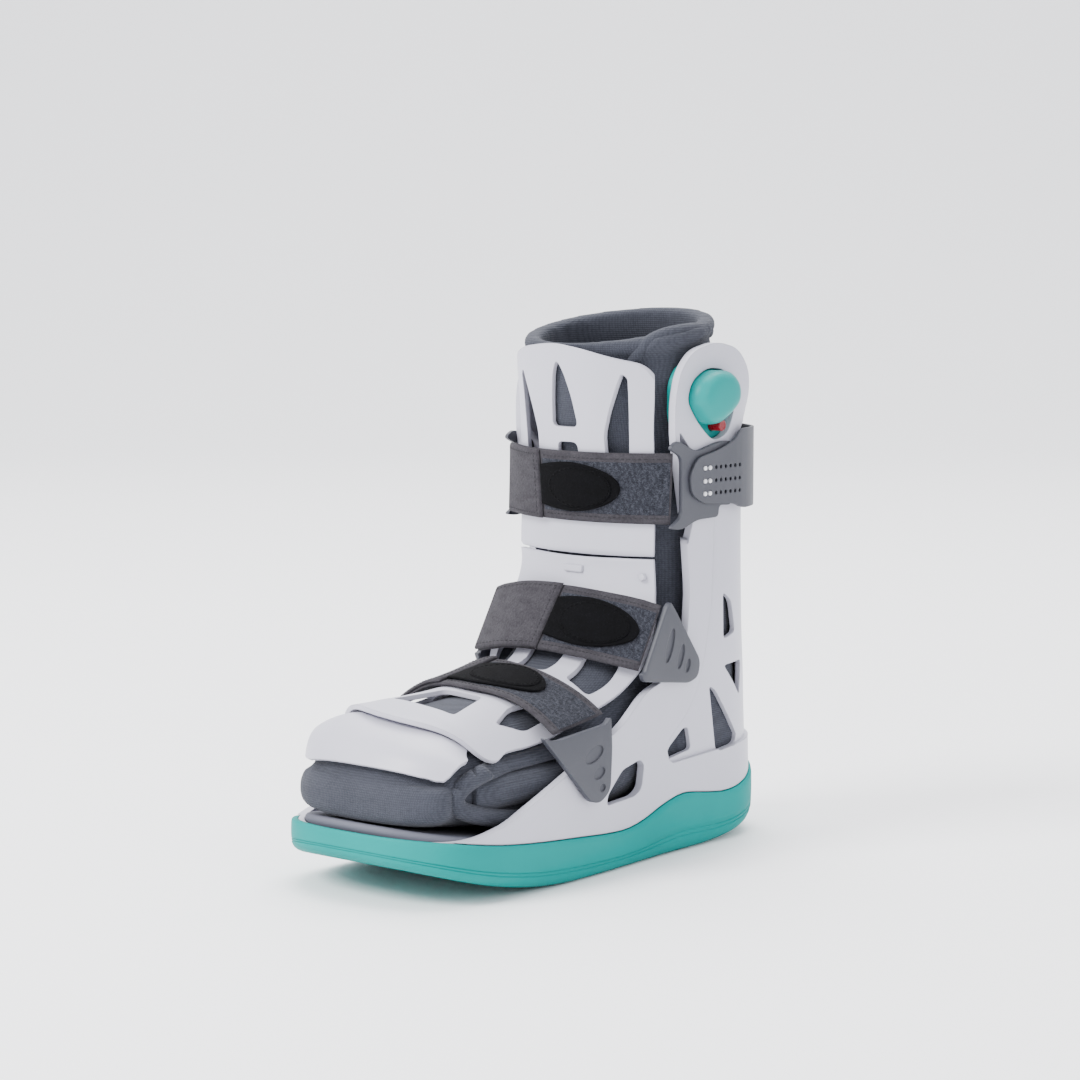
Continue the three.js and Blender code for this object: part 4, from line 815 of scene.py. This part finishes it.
COLLAR_LINE = [(32, 250), (34.5, 257.5), (38, 262), (44.5, 266), (54, 268.6), (68, 270), (80, 270.4)]
collar_line = curve(COLLAR_LINE, 0, 1)


LEG_MIDDLE = 61
# The room behind the pump's plate: its middle, and how far it reaches along and up
PUMP_ROOM = {"along": 0.736, "up": 0.83, "length": 25, "height": 20}
# Voxel size and smoothing passes: the solid sock, its hollow, and the sock once it is trimmed
SOLID_GRAIN, HOLLOW_GRAIN, SOCK_GRAIN = (2.4, 0), (3.2, 2), (1.9, 7)
TRIM = {"outer": 30, "grow": 6, "across": 16, "levels": 30}
PAD_RADIUS, COLLAR_RADIUS, COLLAR_TUCK = 9.5, 3.2, 2.6


def side_path(rows):
    return [(out * BALL_HALF, along(a), up(b)) for a, b, out in rows]


def trim_under_front(thing, depth):
    """Takes away what the hard front leaves no room for, down to a depth below it."""
    for sweep, half, thickness in ((instep_sweep, PANEL["half"], PANEL["thickness"]),
                                   (shin_sweep, PANEL["half"], PANEL["thickness"]),
                                   (cap_room, TOE_CAP["half"], TOE_CAP["thickness"])):
        room = sweep.slab(half, -thickness - depth, **TRIM)
        cut(thing, room, folded=sweep is cap_room)


def widest(spot):
    """How far out the sock may reach at a place, clear of the shell and of the pump's plate."""
    rise = smooth_step(spot.z, up(0.1), up(0.4))
    low = sole_half(spot.y) - (CORE + SHELL["wall"] + 1.5 * GAP)
    limit = low * (1 - rise) + (WALL_INSIDE - 1.5 * GAP) * rise
    if spot.x > 0:
        beside = ((abs(spot.y - along(PUMP_ROOM["along"])) / PUMP_ROOM["length"]) ** 4
                  + (abs(spot.z - up(PUMP_ROOM["up"])) / PUMP_ROOM["height"]) ** 4) ** 0.25
        clear = smooth_step(beside, 1.05, 1.4)
        limit = limit * clear + (WALL_INSIDE - PUMP_PLATE - 2.5 * GAP) * (1 - clear)
    return limit


def tuck(spot):
    """How the sock's outside draws in above the roll across the collar's near front."""
    inward = Vector((-spot.x, LEG_MIDDLE - spot.y, 0)).normalized()
    reach = smooth_step(spot.z - collar_line(spot.y), 0, 4) * smooth_step(spot.x, 0, 12)
    outside = smooth_step(math.hypot(spot.x, spot.y - LEG_MIDDLE), 38, 44)
    return inward * COLLAR_TUCK * reach * outside


def liner():
    sock = piece("liner_sock", leg_outer())
    join(sock, piece("foot", foot_loft(0)))
    remesh(sock, *SOLID_GRAIN)
    hollow = piece("hollow", leg_inner())
    join(hollow, piece("foot_hollow", foot_loft(LINER["foot_wall"])))
    remesh(hollow, *HOLLOW_GRAIN)
    trim_under_front(hollow, LINER["foot_wall"])
    core = bmesh.new()
    core.from_mesh(hollow.data)
    bpy.data.objects.remove(hollow)
    cut(sock, core)
    trim_under_front(sock, 2 * GAP)
    remesh(sock, *SOCK_GRAIN)
    for vert in sock.data.vertices:
        spot = vert.co / MM
        if spot.z < SHELL["crown"] and abs(spot.x) > widest(spot):
            vert.co.x = math.copysign(widest(spot), spot.x) * MM
        if spot.x > 0 and spot.y < 90:
            vert.co += tuck(spot) * MM
    made = finish_piece(sock, "liner", KNIT, angle=180)
    rolls = [tube(COLLAR_PATH, COLLAR_RADIUS, "liner_collar_edge")]
    for sign, where in ((1, "near"), (-1, "far")):
        for rows, radius, label in ((FLAP_PATH, LINER["flap_roll"], "liner_toe_edge"),
                                    (PAD_PATH, PAD_RADIUS, "liner_toe_pad")):
            path = [(sign * x, y, z) for x, y, z in side_path(rows)]
            rolls.append(tube(path, radius, f"{label}_{where}"))
            trim_under_front(rolls[-1], 1.5 * GAP)
    for roll in rolls:
        finish_piece(roll, None, KNIT, angle=180)
    return made


# Straps: layers over a surface that gives a point and a normal

shin_numbers = {column: curve(list(reversed(SHIN_LINE)), UP, column) for column in (ALONG, DROP, POWER)}
instep_up = curve(list(reversed(INSTEP_LINE)), ALONG, UP)
ANKLE_EDGES = [(-1, 0.545, 0.352, 0.607, 0.465), (-0.8, 0.527, 0.36, 0.594, 0.476),
               (-0.45, 0.506, 0.372, 0.58, 0.487), (0, 0.5, 0.377, 0.576, 0.489),
               (0.45, 0.51, 0.37, 0.58, 0.484), (0.8, 0.528, 0.36, 0.595, 0.475),
               (1, 0.545, 0.352, 0.607, 0.465)]
ankle_curves = [curve(ANKLE_EDGES, 0, column) for column in (1, 2, 3, 4)]
FOREFOOT_EDGES = [(-1, 0.33, 0.463), (-0.6, 0.325, 0.478), (0, 0.308, 0.455), (0.5, 0.316, 0.442),
                  (1, 0.322, 0.452)]
forefoot_low, forefoot_high = curve(FOREFOOT_EDGES, 0, 1), curve(FOREFOOT_EDGES, 0, 2)


def calf_point(x, t):
    fall, _ = bowed(shin_numbers[DROP](t), shin_numbers[POWER](t), 0, x)
    return Vector((x, along(shin_numbers[ALONG](t)) + fall, up(t)))


def ankle_point(x, t):
    low_along, low_up, high_along, high_up = (edge(x / STRAP["end"]) for edge in ankle_curves)
    return Vector((x, along(low_along), up(low_up))).lerp(Vector((x, along(high_along), up(high_up))), t)


def forefoot_point(x, t):
    return Vector((x, along(t), up(instep_up(t)) - bowed(0.25, 2.6, 0.03, x)[0]))


def normal_at(point, x, t):
    across = point(x + 0.5, t) - point(x - 0.5, t)
    length = point(x, t + 0.02) - point(x, t - 0.02)
    return across.cross(length).normalized()


STRAPS = {
    "calf": {"point": calf_point, "low": lambda x: 0.612, "high": lambda x: 0.742, "fold": -0.34, "tab": 0.58,
             "lift": 2 * GAP, "end": 52.2},
    "ankle": {"point": ankle_point, "low": lambda x: 0, "high": lambda x: 1, "fold": -0.03, "tab": 0.9,
              "lift": GAP, "end": 54},
    "forefoot": {"point": forefoot_point, "low": lambda x: forefoot_low(x / STRAP["end"]),
                 "high": lambda x: forefoot_high(x / STRAP["end"]), "fold": -0.4, "tab": 0.58,
                 "lift": 2 * GAP, "end": 52.3},
}
# Shares of a strap's width or length, and lifts and thicknesses in millimetres
FIELD = {"edge": 0.13, "sunk": 0.25, "thickness": 0.55}
TAB = {"reach": 0.355, "narrow": 0.8, "full_from": 0.45, "close_from": 0.4, "power": 1.9}
PATCH = {"start": 0.14, "short": 4, "reach": 0.84, "sunk": 0.3, "thickness": 0.9, "swell": 0.5}
SEAM = {"edge": 0.085, "fold_edge": 0.07, "threads": 26, "fold_threads": 14, "patch_threads": 34}
CROSS = [0, 0.012, 0.03, 0.055, *[0.1 + 0.8 * i / 12 for i in range(13)], 0.945, 0.97, 0.988, 1]


def strap_layer(size, start, end, lift, thickness, edges=None, steps=70, swell=0.0):
    """A soft-edged layer between two x, thinner round its border."""
    point = size["point"]
    rings = []
    for share in shares(steps):
        x = start + (end - start) * share
        low, high = edges(share, x) if edges else (size["low"](x), size["high"](x))
        inset = min(share, 1 - share) * abs(end - start)
        end_ease = math.sqrt(min(inset / (thickness * 0.7), 1) * (2 - min(inset / (thickness * 0.7), 1)))
        top, under = [], []
        for across in CROSS:
            t = low + (high - low) * across
            rim = min(across, 1 - across)
            ease = math.sqrt(min(rim / 0.05, 1) * (2 - min(rim / 0.05, 1)))
            ease = 0.5 + 0.5 * ease * end_ease if share not in (0, 1) else 0.5
            place, normal = point(x, t), normal_at(point, x, t)
            bulge = swell * math.sin(math.pi * across) * math.sin(math.pi * share)
            top.append(place + normal * (lift + thickness * ease + bulge))
            under.append(place + normal * (lift + thickness * (1 - ease)))
        rings.append(top + under[::-1])
    return loft(rings)


def stitches(name, size, line, lift, count, thread=THREAD):
    """A row of short raised threads along a line of (x, t)."""
    mesh = bmesh.new()
    for i in range(count):
        x0, t0 = line((i + 0.2) / count)
        x1, t1 = line((i + 0.8) / count)
        normal = normal_at(size["point"], x0, t0)
        start = size["point"](x0, t0) + normal * lift
        end = size["point"](x1, t1) + normal_at(size["point"], x1, t1) * lift
        run = end - start
        turn = run.to_track_quat("Z", "Y").to_matrix().to_4x4()
        place = Matrix.Translation((start + end) / 2 * MM) @ turn @ Matrix.Diagonal((1, 1, run.length * 2.2, 1))
        bmesh.ops.create_icosphere(mesh, subdivisions=1, radius=0.32 * MM, matrix=place)
    finish_piece(piece(name, mesh), None, thread, angle=180)


def tab_edges(size, start, end):
    low = size["low"]((start + end) / 2)
    high = size["high"]((start + end) / 2)
    middle = (low + high) / 2
    reach = (size["high"](start) - size["low"](start)) * TAB["reach"]

    def edges(share, x):
        full = math.sin(min(share / TAB["full_from"], 1) * math.pi / 2)
        swell = TAB["narrow"] + (1 - TAB["narrow"]) * full
        near_end = max(0, (share - TAB["close_from"]) / (1 - TAB["close_from"]))
        close = math.sqrt(max(0.002, 1 - near_end ** TAB["power"]))
        return middle - reach * swell * close, middle + reach * swell * close

    return edges, middle, reach


def strap(name):
    size = STRAPS[name]
    end, lift = size["end"], size["lift"]
    fold, tab_end = end * size["fold"], end * size["tab"]
    top = lift + STRAP["thickness"]
    base = piece(f"{name}_band", strap_layer(size, -end, end, lift, STRAP["thickness"], steps=110))
    turned = piece(f"{name}_turn", strap_layer(size, -end, fold, top - 0.5, STRAP["fold"] + 0.5))
    join(base, turned)
    finish_piece(base, f"{name}_strap", BRUSHED, angle=60)

    def field_edges(share, x):
        low, high = size["low"](x), size["high"](x)
        return low + (high - low) * FIELD["edge"], high - (high - low) * FIELD["edge"]

    layer = strap_layer(size, fold + 1, end * 0.985, top - FIELD["sunk"], FIELD["thickness"], field_edges, 60)
    finish_piece(piece(f"{name}_loop_field", layer), None, LOOP, angle=60)

    start = fold + GAP
    edges, middle, reach = tab_edges(size, start, tab_end)
    tab = piece(f"{name}_pull", strap_layer(size, start, tab_end, top + GAP, STRAP["tab"], edges))
    finish_piece(tab, f"{name}_tab", BLACK, angle=60)

    patch_start = start + (tab_end - start) * PATCH["start"]
    patch_end = tab_end - PATCH["short"]
    centre, radius = (patch_start + patch_end) / 2, (patch_end - patch_start) / 2

    def oval(share, x):
        round_off = math.sqrt(max(0.002, 1 - (2 * share - 1) ** 2))
        return middle - reach * PATCH["reach"] * round_off, middle + reach * PATCH["reach"] * round_off

    face = top + GAP + STRAP["tab"]
    layer = strap_layer(size, patch_start, patch_end, face - PATCH["sunk"], PATCH["thickness"], oval,
                        swell=PATCH["swell"])
    finish_piece(piece(f"{name}_pull_patch", layer), None, BLACK, angle=60)

    def rows_along(share_across, first, last, height, label, count):
        def line(share):
            x = first + (last - first) * share
            low, high = size["low"](x), size["high"](x)
            return x, low + (high - low) * share_across
        stitches(label, size, line, height, count)

    last, on_fold = end * 0.97, top + STRAP["fold"]
    for label, edge in (("low", SEAM["edge"]), ("high", 1 - SEAM["edge"])):
        rows_along(edge, fold + 1.5, last, top + 0.02, f"{name}_seam_{label}", SEAM["threads"])
    for label, edge in (("low", SEAM["fold_edge"]), ("high", 1 - SEAM["fold_edge"])):
        rows_along(edge, -last, fold - 2, on_fold, f"{name}_fold_{label}", SEAM["fold_threads"])

    def across_fold(share):
        x = fold - 3.2
        low, high = size["low"](x), size["high"](x)
        return x, low + (high - low) * (0.08 + 0.84 * share)

    stitches(f"{name}_fold_seam", size, across_fold, on_fold, SEAM["fold_threads"])

    def ring(share):
        angle = share * math.tau
        return centre + radius * 0.93 * math.cos(angle), middle + reach * 0.77 * math.sin(angle)

    stitches(f"{name}_patch_seam", size, ring, face + 0.62, SEAM["patch_threads"], DARK_THREAD)


# The anchors at the ends of the two lower straps

ANKLE_ANCHOR = [(0.6075, 0.467), (0.617, 0.474), (0.63, 0.458), (0.7, 0.358), (0.694, 0.328), (0.67, 0.319),
                (0.545, 0.335), (0.54, 0.35), (0.5475, 0.352)]
FOREFOOT_ANCHOR = [(0.272, 0.272), (0.303, 0.259), (0.438, 0.273), (0.452, 0.286), (0.449, 0.23),
                   (0.436, 0.155), (0.407, 0.137), (0.383, 0.142), (0.317, 0.221)]
ANKLE_DIMPLES = [(0.615, 0.394, 9, 2.6, 1.25), (0.645, 0.371, 6.5, 2.2, 1.25), (0.664, 0.352, 3.6, 1.8, 1.25)]
FOREFOOT_DIMPLES = [(0.4, 0.224, 7.5, 3.4, 0.35), (0.41, 0.19, 4.6, 2.6, 0.35), (0.415, 0.163, 2.4, 1.8, 0.35)]
ANCHOR = {"thickness": 3.2, "lean": 0.1}


def dimple(along_share, up_share, long, wide, turn):
    points = []
    for i in range(28):
        angle = i / 28 * math.tau
        a, b = long * math.cos(angle), wide * math.sin(angle)
        points.append((along(along_share) + a * math.cos(turn) - b * math.sin(turn),
                       up(up_share) + a * math.sin(turn) + b * math.cos(turn)))
    return points


def anchor(name, rows, dents, base, lean):
    top = base + ANCHOR["thickness"]
    for sign, where in ((1, "near"), (-1, "far")):
        plate = piece(f"{name}_loop_{where}", soften(prism(rounded(side(rows), 5), base, top, "x"), 1.1, 4, 60))
        dents_mesh = bmesh.new()
        for dent in dents:
            prism(dimple(*dent), top - 0.8, top + 2, "x", dents_mesh)
        cut(plate, dents_mesh)
        shaped = bmesh.new()
        shaped.from_mesh(plate.data)
        if lean:
            foot = up(0.137) * MM
            for vert in shaped.verts:
                vert.co.x -= ANCHOR["lean"] * (vert.co.z - foot)
        if sign < 0:
            mirror_across(shaped)
        shaped.to_mesh(plate.data)
        shaped.free()
        finish_piece(plate, f"{name}_anchor_{where}", FITTING)


# The calf fittings, the perforated band and its pins

FITTING_OUTLINE = [(0.615, 0.752), (0.637, 0.766), (0.69, 0.742), (0.75, 0.756), (0.79, 0.757), (0.79, 0.637),
                   (0.754, 0.64), (0.752, 0.618), (0.692, 0.617), (0.65, 0.602), (0.615, 0.606), (0.65, 0.625),
                   (0.65, 0.735)]
BAND_OUTLINE = [(0.743, 0.742), (0.687, 0.731), (0.666, 0.701), (0.671, 0.665), (0.705, 0.646), (0.79, 0.64),
                (0.815, 0.63), (1.1, 0.63), (1.1, 0.77), (0.81, 0.778), (0.79, 0.757)]
HOLES = {"rows": [0.711, 0.687, 0.664], "from": 0.738, "pitch": 0.0135, "count": 6, "pins": 2, "radius": 1.05}
FIT = {"thickness": 2, "band": 1.4, "pin": 1.2, "proud": 0.7}
BAND_LIFT = 2 * GAP + FIT["thickness"]
PIN_FROM = HOLES["from"] - HOLES["pins"] * HOLES["pitch"] - 0.004


def wrap_ring(lift, z):
    ring = shell_ring(CORE - SHELL["cladding"] - lift, lambda y: up(0.68))
    return [Vector((p.x, p.y, z)) for p in ring]


def wrap_slab(lift, thickness, low, high):
    slab = piece("wrap", closed_loft([wrap_ring(lift + thickness, low), wrap_ring(lift + thickness, high)]))
    cut(slab, closed_loft([wrap_ring(lift, low - 1), wrap_ring(lift, high + 1)]))
    return slab


def centres(start, count):
    return [(along(start + i * HOLES["pitch"]), up(level)) for level in HOLES["rows"] for i in range(count)]


def circle(centre, radius, steps=18):
    turns = [i / steps * math.tau for i in range(steps)]
    return [(centre[0] + radius * math.cos(a), centre[1] + radius * math.sin(a)) for a in turns]


def calf_fittings():
    for sign, where in ((1, "near"), (-1, "far")):
        plate = wrap_slab(GAP, FIT["thickness"], up(0.58), up(0.79))
        plate.name = f"calf_loop_{where}"
        low, high = (5, WIDE) if sign > 0 else (-WIDE, -5)
        cut(plate, prism(rounded(side(FITTING_OUTLINE), 4), low, high, "x"), "INTERSECT")
        finish_piece(plate, f"calf_fitting_{where}", FITTING)


def calf_band():
    band = wrap_slab(BAND_LIFT, FIT["band"], up(0.6), up(0.8))
    band.name = "back_band"
    cut(band, prism(rounded(side(BAND_OUTLINE), 4), -WIDE, WIDE, "x"), "INTERSECT")
    holes = bmesh.new()
    for centre in centres(HOLES["from"], HOLES["count"]):
        prism(circle(centre, HOLES["radius"]), 0, WIDE, "x", holes)
    for centre in centres(PIN_FROM, HOLES["pins"]):
        prism(circle(centre, FIT["pin"] + GAP), 0, WIDE, "x", holes)
    cut(band, holes)
    finish_piece(band, "calf_band", FITTING)
    face = SHELL["half"] + BAND_LIFT
    for i, (y, z) in enumerate(centres(PIN_FROM, HOLES["pins"])):
        pin = bmesh.new()
        place = Matrix.Translation(Vector((face + (FIT["band"] + FIT["proud"]) / 2, y, z)) * MM)
        bmesh.ops.create_cone(pin, cap_ends=True, segments=24, radius1=FIT["pin"] * MM, radius2=FIT["pin"] * MM,
                              depth=(FIT["band"] + FIT["proud"]) * MM,
                              matrix=place @ Matrix.Rotation(math.pi / 2, 4, "Y"))
        soften(pin, 0.6, 4)
        finish_piece(piece(f"peg_{i + 1}", pin), f"band_pin_{i + 1}", WHITE, angle=60)


# The hand pump, its release button and the blank label

PLATE_OUTLINE = [(0.65, 0.806), (0.65, 0.866), (0.672, 0.9), (0.776, 0.9), (0.822, 0.875), (0.822, 0.8),
                 (0.772, 0.76), (0.707, 0.76), (0.66, 0.775)]
BULB_OUTLINE = [(0.676, 0.832), (0.687, 0.868), (0.724, 0.89), (0.775, 0.886), (0.798, 0.862), (0.798, 0.83),
                (0.772, 0.807), (0.735, 0.788), (0.706, 0.792)]
BULB_LEVELS = [(0, 1), (0.45, 1), (0.6, 0.985), (0.72, 0.95), (0.82, 0.89), (0.89, 0.82), (0.94, 0.74),
               (0.97, 0.64), (0.99, 0.5), (0.997, 0.35), (1, 0.1)]
BUTTON = {"along": 0.762, "up": 0.786, "radius": 3, "proud": 2.6, "running": 0.35, "travel": 1.5}
PUMP_PLATE = 3.4


def button_inner():
    return WALL_INSIDE - GAP - PUMP_PLATE * 0.25


def pump():
    outer = WALL_INSIDE - GAP
    slab = prism(rounded(side(PLATE_OUTLINE), 5), outer - PUMP_PLATE, outer, "x")
    plate = piece("pump_plate", soften(slab, 0.6))
    cut(plate, shell_loft(CORE + SHELL["wall"] + GAP, SHELL["floor"] + GAP), "INTERSECT")
    outline = rounded(side(BULB_OUTLINE), 5)
    middle = sum(outline, Vector((0, 0))) / len(outline)
    low, high = outer - 0.5, SHELL["half"] + 10
    rings = []
    for rise, scale in BULB_LEVELS:
        rings.append([Vector((low + (high - low) * rise, middle.x + (p.x - middle.x) * scale,
                              middle.y + (p.y - middle.y) * scale)) for p in outline])
    cut(plate, closed_loft(rings, hub), "UNION")
    socket = circle((along(BUTTON["along"]), up(BUTTON["up"])), BUTTON["radius"] + BUTTON["running"], 40)
    cut(plate, prism(socket, button_inner() - BUTTON["travel"] - GAP, high + 2, "x"))
    return finish_piece(plate, "pump_bulb", PUMP, angle=40)


def release_button():
    high = SHELL["half"] + BUTTON["proud"]
    radius = BUTTON["radius"]
    profile = [(button_inner(), 0), (button_inner(), radius), (high - 0.8, radius), (high - 0.25, radius - 0.25),
               (high, 2.2), (high - 0.35, 1.7), (high - 0.35, 0)]
    mesh = bmesh.new()
    y, z = along(BUTTON["along"]), up(BUTTON["up"])
    verts = [mesh.verts.new(Vector((x, y, z + radius)) * MM) for x, radius in profile]
    edges = [mesh.edges.new(pair) for pair in zip(verts, verts[1:])]
    bmesh.ops.spin(mesh, geom=[*verts, *edges], cent=Vector((0, y, z)) * MM, axis=(1, 0, 0), angle=math.tau,
                   steps=48, use_merge=True)
    bmesh.ops.remove_doubles(mesh, verts=mesh.verts, dist=1e-6)
    bmesh.ops.recalc_face_normals(mesh, faces=mesh.faces)
    knob = piece("button_knob", mesh)
    return finish_piece(knob, "release_button", RED, "release_button", angle=35)


def inner_label():
    low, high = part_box("inner_label")
    outline = rounded([(low[0], low[2]), (high[0], low[2]), (high[0], high[2]), (low[0], high[2])], 0.0012)
    outline = [p / MM for p in outline]
    label = piece("blank_label", soften(prism(outline, low[1] / MM, high[1] / MM, "y"), 0.2))
    return finish_piece(label, "inner_label", LABEL)


# The studio

CAMERA = {"place": (1.1265, -1.2732, 0.350), "lens": 112.5, "down": 6.32, "turn": 41.5255}
# The floor, in metres: it runs back flat, bends up and rises as a wall
BACKGROUND = {"rows": 40, "straight": 4, "near": 8, "flat": 2.4, "bend": 1.4, "wall": 3.0, "width": 16,
              "turn": 41.5}
LIGHTS = [("key", (-0.7, -1.9, 1.8), 1.1, 105), ("side", (2.1, -0.5, 1.2), 1.0, 12),
          ("top", (-0.6, 0.9, 2.6), 2.2, 130)]
SKY = {"colour": (0.93, 0.94, 1, 1), "strength": 1.5}


def camera():
    view = bpy.data.objects.new("camera", bpy.data.cameras.new("camera"))
    view.data.lens = CAMERA["lens"]
    view.data.sensor_width = 36
    view.data.clip_end = 50
    view.location = CAMERA["place"]
    view.rotation_euler = (math.radians(90 - CAMERA["down"]), 0, math.radians(CAMERA["turn"]))
    bpy.context.collection.objects.link(view)
    bpy.context.scene.camera = view


def background():
    rows, straight = BACKGROUND["rows"], BACKGROUND["straight"]
    near, flat, bend, wall = (BACKGROUND[part] for part in ("near", "flat", "bend", "wall"))
    sweep = bmesh.new()
    bmesh.ops.create_grid(sweep, x_segments=1, y_segments=rows, size=0.5)
    for vert in sweep.verts:
        t = (vert.co.y + 0.5) * rows
        if t < straight:
            place, height = -near + (near + flat) * t / straight, 0
        elif t < rows - straight:
            angle = (t - straight) / (rows - 2 * straight) * math.pi / 2
            place, height = flat + bend * math.sin(angle), bend * (1 - math.cos(angle))
        else:
            place, height = flat + bend, bend + wall * (t - rows + straight) / straight
        vert.co = Vector((vert.co.x * BACKGROUND["width"], place, height))
    bmesh.ops.rotate(sweep, verts=sweep.verts, cent=(0, 0, 0),
                     matrix=Matrix.Rotation(math.radians(BACKGROUND["turn"]), 3, "Z"))
    ground = piece("studio_sweep", sweep)
    ground.data.shade_smooth()
    pale = Finish("pale_floor", 0.6)
    pale.colour(pale.ramp(pale.noise(3), (0.3, (0.93, 0.93, 0.935)), (0.7, (0.94, 0.94, 0.945))))
    ground.data.materials.append(pale.material)


def lights():
    world = bpy.data.worlds.new("studio")
    world.use_nodes = True
    backdrop = world.node_tree.nodes["Background"]
    backdrop.inputs["Color"].default_value = SKY["colour"]
    backdrop.inputs["Strength"].default_value = SKY["strength"]
    bpy.context.scene.world = world
    for name, spot, size, power in LIGHTS:
        light = bpy.data.objects.new(name, bpy.data.lights.new(name, "AREA"))
        light.data.size = size
        light.data.energy = power
        light.location = spot
        aim = Vector((0, 0, 0.12)) - Vector(spot)
        light.rotation_euler = aim.to_track_quat("-Z", "Y").to_euler()
        bpy.context.collection.objects.link(light)


camera()
background()
lights()
outsole()
shell()
insole()
shin_panel()
instep_panel()
toe_cap()
liner()
for strap_name in STRAPS:
    strap(strap_name)
anchor("ankle", ANKLE_ANCHOR, ANKLE_DIMPLES, SHELL["half"] + GAP, False)
anchor("forefoot", FOREFOOT_ANCHOR, FOREFOOT_DIMPLES, BALL_HALF * 0.963, True)
calf_fittings()
calf_band()
pump()
release_button()
inner_label()
